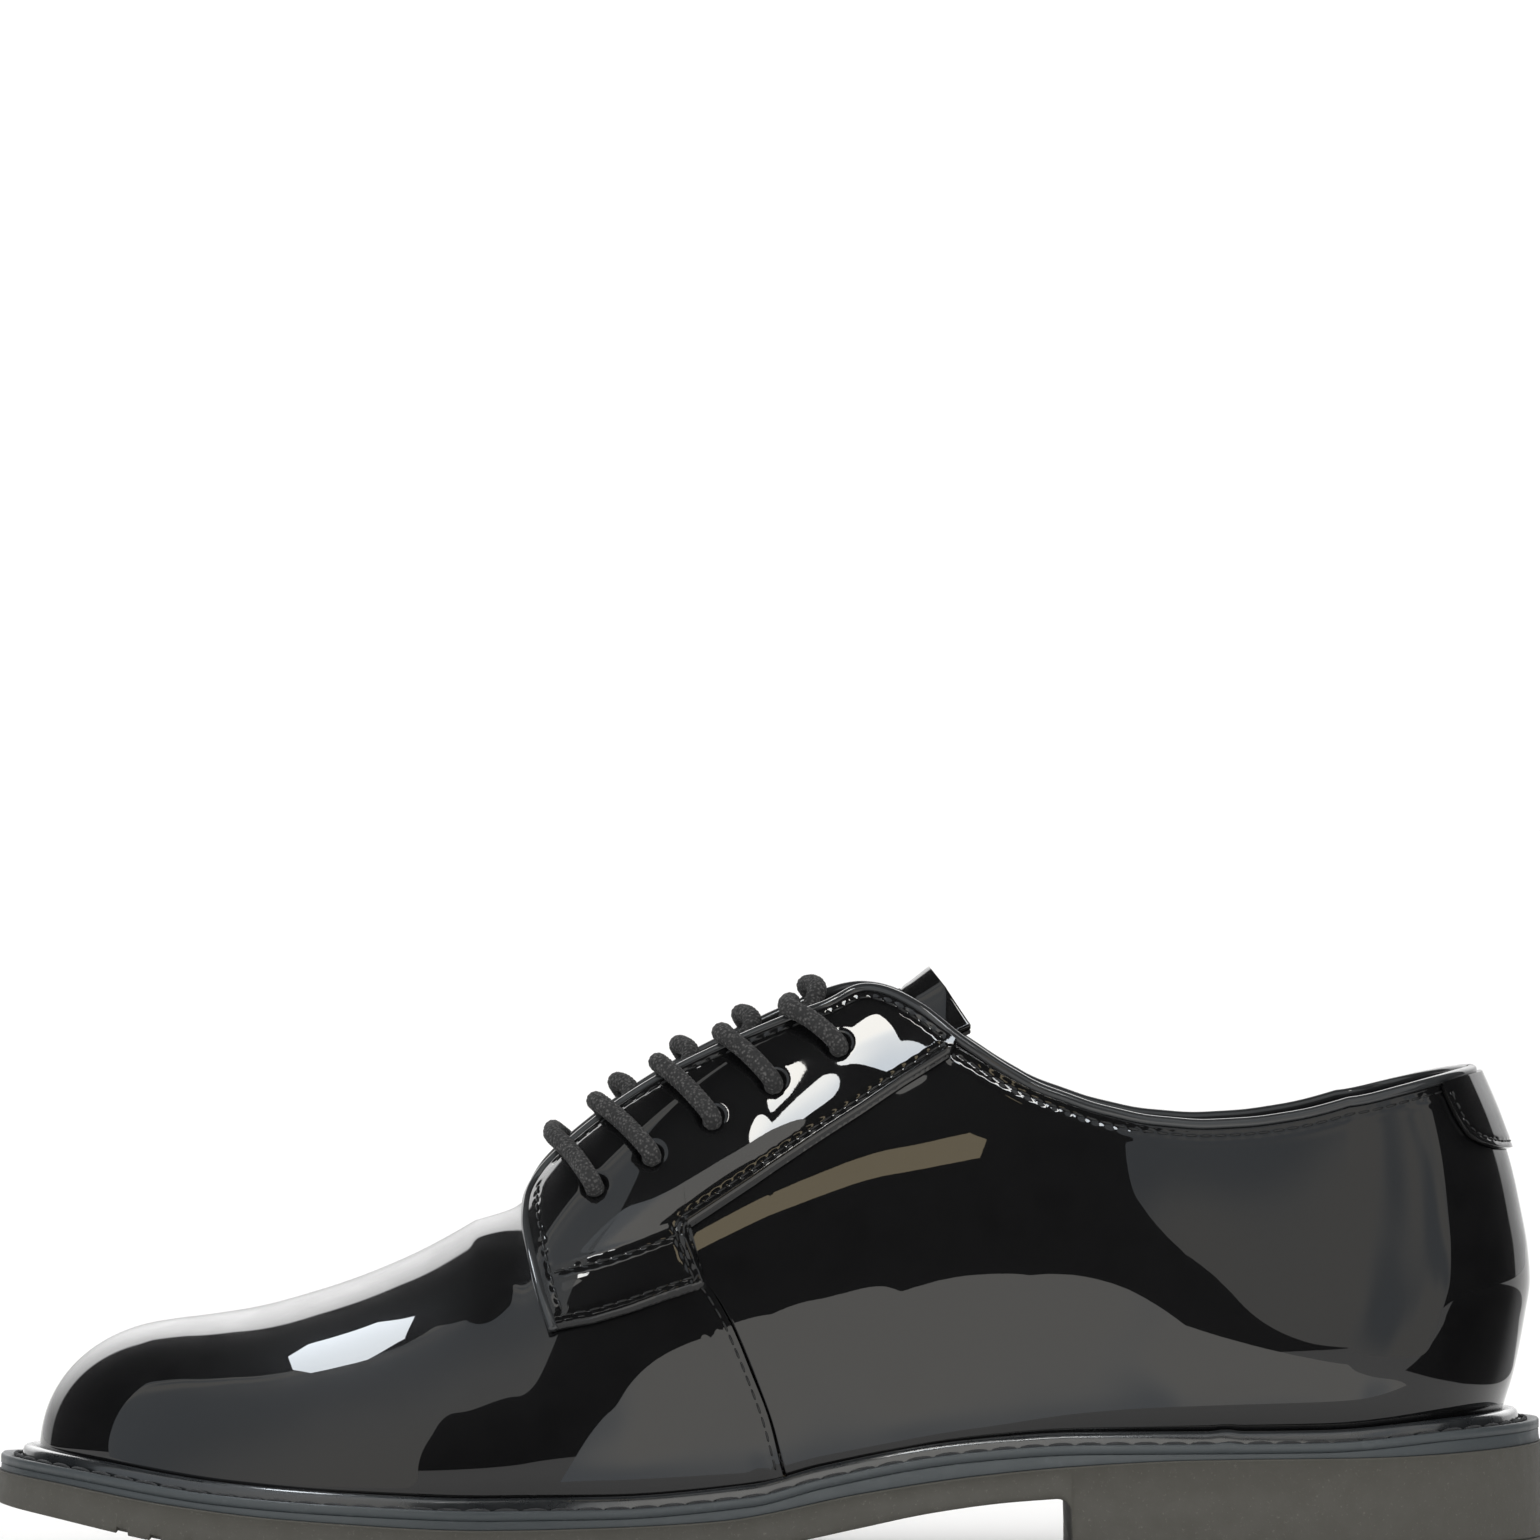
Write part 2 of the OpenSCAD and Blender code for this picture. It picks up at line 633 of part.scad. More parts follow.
// Rolled binding from the tab's lower corner along the lace edge and the topline to the back
// seam; it sits out on the facing, and further in on the topline
binding_steps = 46;
binding_rise = [[30, 0.9], [50, -1]];
module binding(side) {
    front = concat([for (p = facing_front) place(p, side)], [place(facing_corner, side)]);
    list = glided(concat(front, top_edge(side)), binding_steps);
    path = [for (p = list) skin(p, curve(binding_rise, p[0]))];
    back = path[binding_steps];
    color("#0f0f11") tube(
        concat(
            [for (k = [0:binding_steps - 1]) path[k]],
            [[back[0], centre_shift + side * 0.2, back[2]]]
        ),
        binding_d, 8, false
    );
}
module binding_inner() binding(-1);
module binding_outer() binding(1);

// ---- Lacing ----

// Metal eyelets on the inside: a barrel through the layers and a flange against the lining
eyelet_wall = 0.35;
flange_t = 0.4;
module eyelet_set(side) {
    low = lining_layer[0] - 0.2;
    bore = eyelet_bore / 2;
    color("#2c2d30") for (e = eyelets) stood_on(place(e, side), 0) rotate_extrude($fn = 32) polygon([
        [bore, low - flange_t], [eyelet_flange / 2, low - flange_t], [eyelet_flange / 2, low],
        [bore + eyelet_wall, low], [bore + eyelet_wall, 0.1], [bore, 0.1]
    ]);
}
module eyelets_inner() eyelet_set(-1);
module eyelets_outer() eyelet_set(1);

lace_r = lace_d / 2;
lace_sides = 8;
// Heights of the lace over the surface: under the lining, in a bore, and in the middle of the gap
lace_under = -5.8;
lace_in_bore = -1.4;
lace_crossing = -0.9;
// How far ahead of its eyelet each strand comes over the inner and over the outer edge
rim_ahead = [8.6, 4.7];
// X of the bar across the front
bar_x = -40;

// Point of the lace at the height d over an eyelet, and over the binding's edge at X
function hole(k, side, d) = let (p = place(eyelets[k], side)) skin(p, 0) + normal_at(p, 0) * d;
function over_edge(x, side) =
    let (p = [x, angle_at_gap(x, side), side])
    skin(p, 0) + normal_at(p, 0) * (lace_r + binding_d / 2 + 1.2);

// From under eyelet k on one side, up through the gap and over the other edge into the next
function crossing(k, side) =
    let (
        x = eyelets[k + 1][0] - rim_ahead[side > 0 ? 0 : 1],
        near = eyelets[k][0] * 0.6 + x * 0.4,
        start = place(eyelets[k], side),
        edge = [near, angle_at_gap(near, side), side],
        rim = over_edge(x, -side),
        above = hole(k + 1, -side, lace_r + 2)
    )
    [
        hole(k, side, lace_under),
        skin(start * 0.45 + edge * 0.55, lace_under),
        skin(edge, lace_under + 0.3),
        skin([x - side * 0.6, 90, side], lace_crossing),
        rim,
        (rim + above) / 2 + [0, -side * 0.8, 0.8],
        above,
        hole(k + 1, -side, lace_in_bore)
    ];
function strand(side) = [
    for (k = [0:3]) each crossing(k, k % 2 == 0 ? side : -side),
    hole(4, side, lace_under + 0.8),
    side < 0 ? end_inner[0] : end_outer[0]
];
function bar_half(side) =
    let (rim = over_edge(bar_x, side), above = hole(0, side, lace_r + 2))
    [rim, (rim + above) / 2 + [0, side * 0.8, 0.8], above, hole(0, side, lace_in_bore)];

module lace() {
    start = bar_half(-1);
    finish = bar_half(1);
    route = concat(
        reversed(concat(start, strand(-1))),
        [(start[0] + finish[0]) / 2 + [0, 0, 0.3]],
        finish,
        strand(1)
    );
    color("#2e3034") tube(glided(route, 110), lace_d, lace_sides, false);
}

module lace_end_inner() {
    color("#2e3034") tube(glided(end_inner, 24), lace_d, lace_sides, false);
}
module lace_end_outer() {
    color("#2e3034") tube(glided(end_outer, 24), lace_d, lace_sides, false);
}

// Aglet: a plain sleeve past the end of the lace
aglet_l = 16;
aglet_d = 2.6;
module aglet(route) {
    last = len(route) - 1;
    way = (route[last] - route[last - 1]) / norm(route[last] - route[last - 1]);
    color("#1c1c1e") translate(route[last] + way * 0.1)
        rotate([0, acos(way[2]), atan2(way[1], way[0])])
        cylinder(h = aglet_l, d = aglet_d, $fn = 24);
}
module aglet_inner() aglet(end_inner);
module aglet_outer() aglet(end_outer);

// ---- Tongue ----

tongue_cols = 16;
tongue_rows = 10;
tongue_front = -46;
tongue_back = 31;
// How much further back the tongue's corners are than the middle of its end
tongue_slant = 8;
// Half of the tongue's width as an angle on the upper, and the rise of its end, by X
tongue_wide = [[-46, 34], [-20, 36], [10, 34], [39, 32]];
tongue_lift = [[16, 0], [34, 6.4]];
function tongue_points(d) = [
    for (i = [0:tongue_cols]) [
        for (j = [0:tongue_rows])
            let (
                u = i / tongue_cols,
                across = 2 * j / tongue_rows - 1,
                length = tongue_back - tongue_front,
                x = tongue_front + length * u + tongue_slant * u * across * across,
                a = 90 + across * curve(tongue_wide, x)
            )
            skin([x, min(a, 180 - a), a < 90 ? -1 : 1], d + curve(tongue_lift, x))
    ]
];
module tongue_piece(layer) {
    sheet(tongue_points(layer[0]), tongue_points(layer[1]), false);
}

module tongue() {
    color("#18181b") tongue_piece(tongue_layer);
}

module tongue_lining() {
    color("#3a3634") tongue_piece(tongue_lining_layer);
}

outsole();
heel_lift();
midsole();
storm_welt();
welt_thread();
cork_filler();
shank();
insole_board();
heel_pad();
sock_liner();
vamp();
vamp_lining();
toe_puff();
quarter_inner();
quarter_outer();
quarter_lining_inner();
quarter_lining_outer();
interlining_inner();
interlining_outer();
heel_counter();
facing_inner();
facing_outer();
heel_tab();
binding_inner();
binding_outer();
eyelets_inner();
eyelets_outer();
lace();
lace_end_inner();
lace_end_outer();
aglet_inner();
aglet_outer();
tongue();
tongue_lining();
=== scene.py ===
"""A right shoe of patent leather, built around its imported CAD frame."""

import math

import bmesh
import bpy
import numpy as np
from mathutils.kdtree import KDTree
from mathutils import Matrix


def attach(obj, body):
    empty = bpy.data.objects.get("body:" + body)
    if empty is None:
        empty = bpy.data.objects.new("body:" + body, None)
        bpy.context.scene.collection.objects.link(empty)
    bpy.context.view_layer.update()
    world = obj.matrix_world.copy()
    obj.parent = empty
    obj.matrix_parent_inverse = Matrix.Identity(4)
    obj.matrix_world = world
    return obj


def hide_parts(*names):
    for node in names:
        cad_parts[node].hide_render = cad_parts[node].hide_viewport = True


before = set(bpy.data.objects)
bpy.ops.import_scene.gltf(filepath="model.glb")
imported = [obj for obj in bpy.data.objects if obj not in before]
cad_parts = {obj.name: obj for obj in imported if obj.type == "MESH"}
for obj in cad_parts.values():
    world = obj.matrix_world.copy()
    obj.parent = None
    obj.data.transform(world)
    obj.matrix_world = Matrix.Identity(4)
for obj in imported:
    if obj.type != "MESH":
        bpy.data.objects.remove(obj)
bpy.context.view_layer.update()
MM = 0.001  # the shape's own numbers are millimetres, and the scene is in metres
NUDGE = 0.3  # how far a place is moved to find the slope of the surface
FINE_STEPS = 1500  # how many points a line has while its corners are rounded
EDGE_BEVEL = 0.3

# ---- Camera: level, side on, from the inner side of the shoe ----

EYE_Z = 0.1538
EYE_BACK = 2.4
FRAME_WIDTH = 0.302  # what the view is wide at the middle of the shoe


def make_camera():
    data = bpy.data.cameras.new("camera")
    data.sensor_width = 36
    data.lens = 36 * EYE_BACK / FRAME_WIDTH
    camera = bpy.data.objects.new("camera", data)
    camera.location = (-0.0003, -EYE_BACK, EYE_Z)
    camera.rotation_euler = (math.pi / 2, 0, 0)
    bpy.context.collection.objects.link(camera)
    bpy.context.scene.camera = camera


make_camera()

# ---- The last: the same surface as the CAD parts, in millimetres ----

TOE_TIP, HEEL_S, HEEL_ARC = -143.2, 112.0, 50.0
BACK_S = HEEL_S + HEEL_ARC
CENTRE_SHIFT, BELLY_Z = 0.8, 20.0
EDGE_INNER = [[-143, -38], [-123, -42], [-103, -45], [-83, -47.5], [-65, -48], [-48, -46],
              [-30, -41.5], [0, -32.5], [25, -28], [50, -28.5], [80, -31], [112, -31.5]]
EDGE_OUTER = [[-143, 27], [-123, 32], [-103, 37], [-83, 42], [-65, 45], [-45, 46.5],
              [-25, 45.5], [0, 41.5], [25, 37], [50, 33.5], [80, 31.5], [112, 31.5]]
RIDGE_Y = [[-143, -6], [-100, -5], [-60, -3], [-20, -1], [30, 0], [112, 0]]
RIDGE_Z = [[-144, 46.5], [-120, 46.5], [-104, 48.2], [-88, 52.2], [-72, 58.2], [-57, 66.2],
           [-49.5, 71], [-44, 77.5], [-38, 83], [-23, 94], [-5, 104.2], [14, 113.5], [30, 120],
           [60, 134], [112, 157]]
POWER = [[-143, 2.1], [-110, 2.15], [-80, 2], [-50, 1.85], [0, 1.8], [40, 1.85], [112, 1.9]]
BELLY = [[-143, 1], [-90, 2], [-50, 2.5], [0, 1.5], [40, 2], [80, 3.5], [112, 4]]
HEEL_BACK = [[24, 142.5], [30, 144], [36, 145.8], [47, 148], [54, 149], [60, 148.6],
             [68, 147.2], [77, 145.2], [86, 142.2], [97, 137.5]]
NOSE_SIDE, NOSE_PLAN = (30, 2.2), (56, 2.05)

WELT_Z = [[-152, 20.6], [-136, 18.6], [-106, 14.3], [-80, 12.4], [-53, 11.4], [-32, 11.4],
          [-4, 13.3], [10, 16.7], [38, 21.6], [60, 23.2], [106, 23.7], [133, 25.9], [152, 27]]
PARTING_Z = [[-152, 17.4], [-139, 15.9], [-117, 12.5], [-92, 9.8], [-53, 7.8], [-32, 8],
             [-11, 8.8], [17, 13.7], [40, 17.2], [60, 19.2], [81, 20.4], [119, 21], [152, 22.6]]
GROUND_Z = [[-153, 11.2], [-140, 9.2], [-121, 5.7], [-100, 2.2], [-80, 0.4], [-70, 0],
            [-26, 0], [3, 4.3], [17, 7.1], [31, 10], [45, 12], [56, 12.9]]
GROOVES = [-125.2 + 6.6 * k for k in range(15)] + [72 + 8 * k for k in range(9)]
GROOVE_W, GROOVE_DEPTH = 2.0, 1.2
WELT_OUT = [[-152, 7.5], [-120, 6.5], [-80, 5.5], [20, 4.5], [60, 5.5], [120, 5.5], [144, 7.2]]
PAD_RISE = [[48, 0], [64, 1.6], [152, 1.6]]
HEEL_BREAST, HEEL_LIFT_H, SOLE_FLARE, WELT_H = 58, 4, 1.2, 1.8

SEAM = [[3, 14], [2, 18], [-0.5, 28], [-4.2, 37.6], [-8.2, 47], [-12.5, 54], [-20, 59.5],
        [-30, 63.5], [-40, 66.5]]
FACING_FOOT = [[-42, 45.3], [-34.5, 46.7], [-27, 48.8], [-19.5, 51.4], [-12.3, 53.6],
               [-14.4, 59], [-16.6, 64.3], [-8, 69.9], [0.5, 75.6], [9, 81.2], [17.5, 86.6],
               [26, 92.3], [34.5, 97.6]]
FACING_FRONT = [[-42, 45.3], [-44.4, 51.4], [-46.4, 59], [-47.8, 65], [-47.6, 69.5]]
TOPLINE = [[17, 110.6], [22.5, 109.8], [28, 107.2], [36, 101.4], [44, 96.6], [52, 92.4],
           [62, 88.8], [72, 86.4], [83, 85.4], [94, 86], [104, 87.6], [114, 90], [122, 92],
           [128.5, 93.6], [133.5, 94.8], [136.7, 95.4], [138, 95.6]]
EYELETS = [[-34.2, 72], [-23.4, 78], [-11.7, 85.1], [0.3, 92], [13, 99.2]]
LACE_D, BINDING_D, LACE_GAP = 3.8, 2.1, 7.0
BINDING_TUCK = 0.6 * BINDING_D  # how far below the middle of the binding the leather ends

VAMP_LAYER, QUARTER_LAYER, LINING_LAYER = (-1.3, 0.0), (-1.6, -0.3), (-4.0, -3.2)
FACING_LAYER, HEEL_TAB_LAYER = (0.3, 1.5), (0.0, 1.0)
TONGUE_LAYER, TONGUE_LINING_LAYER = (-11.5, -10.3), (-12.5, -11.7)


def curve(points, x):
    """Smooth curve through points [x, value], level beyond its ends."""
    p = np.asarray(points, float)
    at = np.clip(np.asarray(x, float), p[0, 0], p[-1, 0])
    chord = np.diff(p[:, 1]) / np.diff(p[:, 0])
    a, b = chord[:-1], chord[1:]
    total = np.where(a + b == 0, 1, a + b)
    slope = np.concatenate([chord[:1], np.where(a * b <= 0, 0, 2 * a * b / total), chord[-1:]])
    i = np.clip(np.searchsorted(p[:, 0], at, side="right") - 1, 0, len(p) - 2)
    w = p[i + 1, 0] - p[i, 0]
    t = (at - p[i, 0]) / w
    u = 1 - t
    ends = p[i, 1] * (1 + 2 * t) * u * u + p[i + 1, 1] * (3 - 2 * t) * t * t
    return ends + w * t * u * (slope[i] * u - slope[i + 1] * t)


def glide(points, t):
    """Points at t, from 0 to 1, on a smooth line through the given points."""
    p = np.asarray(points, float)
    n = len(p) - 1
    t = np.asarray(t, float)
    i = np.clip(np.floor(t * n).astype(int), 0, n - 1)
    f = (t * n - i)[..., None]
    a, b, c, d = p[np.maximum(i - 1, 0)], p[i], p[i + 1], p[np.minimum(i + 2, n)]
    return b + f * ((c - a) / 2 + f * (a - 2.5 * b + 2 * c - d / 2
                                       + f * (1.5 * b - a / 2 - 1.5 * c + d / 2)))


def sin(a):
    return np.sin(np.radians(a))


def cos(a):
    return np.cos(np.radians(a))


def fan(s):
    return 90 * np.maximum(s - HEEL_S, 0) / HEEL_ARC


def x_of(s):
    return np.minimum(s, HEEL_S) + (curve(HEEL_BACK, 30) - HEEL_S) * sin(fan(s))


def rounding(q, nose):
    return (1 - (1 - np.clip(q / nose[0], 0, 1)) ** nose[1]) ** (1 / nose[1])


def rise(s, d):
    tall = curve(RIDGE_Z, np.minimum(s, HEEL_S)) + d - curve(WELT_Z, x_of(s))
    return tall * rounding(s - TOE_TIP + d, NOSE_SIDE)


def angle_at(s, z):
    share = np.clip((z - curve(WELT_Z, x_of(s))) / rise(s, 0), 0, 1)
    return np.degrees(np.arcsin(share ** (curve(POWER, np.minimum(s, HEEL_S)) / 2)))


def places_at(s, a, side):
    """Places [s, a, side] from numbers or arrays of shapes that fit together."""
    return np.stack(np.broadcast_arrays(s, a, side), -1).astype(float)


def place(points, side):
    """Places on the upper of points [X, Z] seen from the side."""
    x, z = np.asarray(points, float).T
    turn = np.degrees(np.arcsin(np.clip((x - HEEL_S) / (curve(HEEL_BACK, z) - HEEL_S), 0, 1)))
    s = np.where(x <= HEEL_S, x, HEEL_S + HEEL_ARC * turn / 90)
    return places_at(s, angle_at(s, z), side)


def skin(p, d):
    """Points of the upper's surface at the places p, at the offset d from its outer face."""
    s, a, side = p[..., 0], p[..., 1], p[..., 2]
    at = np.minimum(s, HEEL_S)
    power = 2 / curve(POWER, at)
    foot = curve(WELT_Z, x_of(s))
    z = foot + rise(s, d) * np.clip(sin(a), 0, 1) ** power
    h = (z - foot) / BELLY_Z
    mid = curve(RIDGE_Y, at)
    wide = np.where(side < 0, mid - curve(EDGE_INNER, at), curve(EDGE_OUTER, at) - mid)
    bulge = curve(BELLY, at) * h * np.exp(1 - h) * cos(a)
    half = ((wide + d) * np.clip(cos(a), 0, 1) ** power + bulge) * rounding(at - TOE_TIP + d, NOSE_PLAN)
    x = at + (curve(HEEL_BACK, z) + d - HEEL_S) * sin(fan(s))
    return np.stack([x, (mid + side * half) * cos(fan(s)) + CENTRE_SHIFT, z], -1)


def slopes(p, d):
    """How the point moves when the place p is nudged along s, and when it is nudged in angle."""
    ds, da = np.array([NUDGE, 0, 0]), np.array([0, NUDGE, 0])
    return skin(p + ds, d) - skin(p - ds, d), skin(p + da, d) - skin(p - da, d)


def normal_at(p, d):
    n = np.cross(*slopes(p, d)) * -p[..., 2:3]
    return n / np.maximum(np.linalg.norm(n, axis=-1, keepdims=True), 1e-9)


def lowered(p, distance):
    """The places moved down the surface by a distance."""
    da = np.array([0, 0.5, 0])
    up = np.linalg.norm(skin(p + da, 0) - skin(p - da, 0), axis=-1)
    out = p.copy()
    out[..., 1] -= distance / up
    return out


def measured(points):
    """Distance along a line of points, from its start to each point."""
    return np.concatenate([[0], np.cumsum(np.linalg.norm(np.diff(points, axis=0), axis=1))])


def resampled(values, along, n):
    """n rows of values, evenly spaced along a line on which they lie at the distances along."""
    at = np.linspace(0, along[-1], n)
    return np.stack([np.interp(at, along, values[:, k]) for k in range(values.shape[1])], -1)


def spaced(points, n):
    return resampled(points, measured(points), n)


# ---- Meshes ----

def make_object(name, points, faces, material, smooth=True):
    """A mesh object from points in millimetres."""
    mesh = bpy.data.meshes.new(name)
    mesh.from_pydata((np.asarray(points) * MM).tolist(), [], [tuple(int(i) for i in f) for f in faces])
    mesh.validate()
    mesh.update()
    obj = bpy.data.objects.new(name, mesh)
    bpy.context.collection.objects.link(obj)
    mesh.materials.append(material)
    mesh.polygons.foreach_set("use_smooth", [smooth] * len(mesh.polygons))
    return obj


def grid_faces(cols, rows, at=0, flip=False):
    i, j = np.meshgrid(np.arange(cols - 1), np.arange(rows - 1), indexing="ij")
    a = (at + i * rows + j).ravel()
    b = a + rows
    quads = np.stack([a, b, b + 1, a + 1], -1)
    return quads[:, ::-1] if flip else quads


def rim_of(cols, rows):
    return np.concatenate([
        np.arange(rows - 1),
        np.arange(cols - 1) * rows + rows - 1,
        (cols - 1) * rows + np.arange(rows - 1, 0, -1),
        np.arange(cols - 1, 0, -1) * rows,
    ])


def sheet_mesh(outer, inner, flip=False):
    """A closed sheet between two grids of points."""
    cols, rows = outer.shape[:2]
    half = cols * rows
    rim = rim_of(cols, rows)
    nxt = np.roll(rim, -1)
    side = np.stack([rim, nxt, nxt + half, rim + half], -1)
    faces = np.concatenate([
        grid_faces(cols, rows, 0, flip),
        grid_faces(cols, rows, half, not flip),
        side[:, ::-1] if flip else side,
    ])
    return np.concatenate([outer.reshape(-1, 3), inner.reshape(-1, 3)]), faces


def clean(obj, bevel):
    """Welds equal points, faces outwards and rounds sharp edges by a bevel in mm."""
    bm = bmesh.new()
    bm.from_mesh(obj.data)
    bmesh.ops.remove_doubles(bm, verts=bm.verts, dist=1e-6)
    bmesh.ops.recalc_face_normals(bm, faces=bm.faces)
    bm.to_mesh(obj.data)
    bm.free()
    if bevel:
        mod = obj.modifiers.new("edge", "BEVEL")
        mod.width = bevel * MM
        mod.segments = 3
        mod.limit_method = "ANGLE"
        mod.angle_limit = math.radians(40)
        mod.harden_normals = False
    return obj


def coons(bottom, top, front, back):
    """Blend of four edges, each a list of places."""
    n, m = len(bottom), len(front)
    u, v = np.linspace(0, 1, n)[:, None, None], np.linspace(0, 1, m)[None, :, None]
    b, t, f, k = bottom[:, None], top[:, None], front[None], back[None]
    return (b * (1 - v) + t * v + f * (1 - u) + k * u
            - bottom[0] * (1 - u) * (1 - v) - bottom[-1] * u * (1 - v)
            - top[0] * (1 - u) * v - top[-1] * u * v)


def nearest(points, line_points):
    """Distance of each point to a line of points, and how far along the line that is."""
    tree = KDTree(len(line_points))
    for i, p in enumerate(line_points):
        tree.insert(p, i)
    tree.balance()
    found = [tree.find(p) for p in points.reshape(-1, 3)]
    far = np.array([f[2] for f in found]).reshape(points.shape[:-1])
    along = measured(line_points)[[f[1] for f in found]].reshape(points.shape[:-1])
    return far, along


def creased(points, normals, rows, depth=0.24, width=0.75):
    """A leather surface drawn down along its rows of stitches, most where the thread goes in."""
    drop = np.zeros(points.shape[:-1])
    for row in rows:
        far, along = nearest(points, row)
        count = max(round(measured(row)[-1] / STITCH_PITCH), 1)
        wave = 0.72 - 0.28 * np.cos(2 * np.pi * along / measured(row)[-1] * count + np.pi)
        swell = 0.3 * np.exp(-((far - 1.5) / 0.6) ** 2)
        drop = np.maximum(drop, np.exp(-(far / width) ** 2) * wave) - swell * (drop < 0.1)
    return points - normals * (drop * depth)[..., None]


def across_path(path):
    """Two directions across a path at each of its points, turning as little as they can."""
    t = np.gradient(path, axis=0)
    t /= np.linalg.norm(t, axis=1, keepdims=True)
    n = np.zeros_like(path)
    last = np.array([0, 0, 1.0]) if abs(t[0, 2]) < 0.9 else np.array([0, 1.0, 0])
    for k in range(len(path)):
        last = last - last @ t[k] * t[k]
        last /= np.linalg.norm(last)
        n[k] = last
    return n, np.cross(t, n)


def around(sides):
    """Angles of the points of a ring."""
    return 2 * np.pi * np.arange(sides) / sides


def tube_faces(rings, sides):
    """Faces of a tube of rings of points, closed at its ends."""
    k, j = np.meshgrid(np.arange(rings - 1), np.arange(sides), indexing="ij")
    a, b = k * sides + j, k * sides + (j + 1) % sides
    faces = np.stack([a, b, b + sides, a + sides], -1).reshape(-1, 4).tolist()
    return faces + [list(range(sides))[::-1], list(range((rings - 1) * sides, rings * sides))]


def tube_mesh(path, radius, sides):
    """A tube along a path; the radius may be an array of a value for each ring and side."""
    n, b = across_path(path)
    angle = around(sides)[:, None]
    r = np.broadcast_to(np.asarray(radius, float), (len(path), sides))[..., None]
    rings = path[:, None] + r * (n[:, None] * np.cos(angle) + b[:, None] * np.sin(angle))
    return rings.reshape(-1, 3), tube_faces(len(path), sides)


class Pieces:
    """Gathers many small closed pieces into one mesh."""

    def __init__(self):
        self.points, self.faces, self.count = [], [], 0

    def add(self, points, faces):
        self.points.append(points)
        self.faces += [[i + self.count for i in f] for f in faces]
        self.count += len(points)

    def mesh(self):
        return np.concatenate(self.points), self.faces


STITCH_PITCH, STITCH_LENGTH, STITCH_R = 2.8, 2.2, 0.24
STITCH_SIDES = 6
# Rings of a stitch: place in lengths, thickness in radii and height in diameters
STITCH_RINGS = np.array([[-0.5, 0.35, -0.28], [-0.4, 0.85, -0.1], [-0.15, 1, 0.06], [0.15, 1, 0.06],
                         [0.4, 0.85, -0.1], [0.5, 0.35, -0.28]])


def add_stitches(pieces, points, normals, pitch, length, radius):
    """Rows of stitches along a line of points that lies on a surface."""
    along = measured(points)
    count = max(round(along[-1] / pitch), 1)
    angle = around(STITCH_SIDES)[:, None]
    faces = tube_faces(len(STITCH_RINGS), STITCH_SIDES)

    def sample(at, values):
        return np.array([np.interp(at, along, values[:, i]) for i in range(3)])

    for k in range(count):
        at = (k + 0.5) * along[-1] / count
        p, n = sample(at, points), sample(at, normals)
        t = sample(at + 0.4, points) - sample(at - 0.4, points)
        t /= np.linalg.norm(t)
        n = n - n @ t * t
        n /= np.linalg.norm(n)
        b = np.cross(t, n)
        rings = [
            p + t * r[0] * length + n * radius * (r[2] * 2 + 0.1)
            + radius * r[1] * (np.cos(angle) * n * 0.8 + np.sin(angle) * b)
            for r in STITCH_RINGS
        ]
        pieces.add(np.concatenate(rings), faces)


# ---- Materials ----

def material(name):
    m = bpy.data.materials.new(name)
    m.use_nodes = True
    return m, m.node_tree, m.node_tree.nodes["Principled BSDF"]


def fill(tree, n, inputs):
    """Gives inputs of a node their values, or links to them from the outputs of other nodes."""
    for key, value in inputs.items():
        if isinstance(value, bpy.types.NodeSocket):
            tree.links.new(value, n.inputs[key])
        else:
            n.inputs[key].default_value = value


def node(tree, kind, inputs=None, **settings):
    n = tree.nodes.new("ShaderNode" + kind)
    for key, value in settings.items():
        setattr(n, key, value)
    fill(tree, n, inputs or {})
    return n


def noise(tree, scale, detail=3, rough=0.55):
    where = node(tree, "TexCoord").outputs["Object"]
    n = node(tree, "TexNoise", {"Vector": where, "Scale": scale, "Detail": detail, "Roughness": rough})
    return n.outputs["Fac"]


def cells(tree, scale):
    where = node(tree, "TexCoord").outputs["Object"]
    return node(tree, "TexVoronoi", {"Vector": where, "Scale": scale}).outputs["Distance"]


def ramp(tree, value, lo, hi, a, b, smooth=True):
    """a up to the value lo and b from the value hi, with a smooth or a straight change between."""
    n = node(tree, "MapRange", {"Value": value, "From Min": lo, "From Max": hi, "To Min": a, "To Max": b},
             interpolation_type="SMOOTHSTEP" if smooth else "LINEAR")
    return n.outputs["Result"]


def mixed(tree, value, colour_a, colour_b):
    n = node(tree, "Mix", {"Factor": value, "A": (*colour_a, 1), "B": (*colour_b, 1)}, data_type="RGBA")
    return n.outputs["Result"]


def combined(tree, operation, *values):
    """The values multiplied together, or the largest of them, by the name of the operation."""
    total = values[0]
    for value in values[1:]:
        total = node(tree, "Math", {0: total, 1: value}, operation=operation).outputs[0]
    return total


def bump(tree, layers):
    """Chains bump nodes; each layer is (height, strength, distance in mm)."""
    last = {}
    for height, strength, distance in layers:
        n = node(tree, "Bump", {"Height": height, "Strength": strength, "Distance": distance * MM, **last})
        last = {"Normal": n.outputs["Normal"]}
    return last["Normal"]


def finish_of(tree, shader, colour, rough, layers):
    """Sets the colour, the roughness from (scale, low, high) and the bumps of a finish."""
    scale, low, high = rough
    normal = bump(tree, layers)
    rough = ramp(tree, noise(tree, scale), 0.3, 0.7, low, high)
    fill(tree, shader, {"Base Color": colour, "Roughness": rough, "Normal": normal})
    return normal


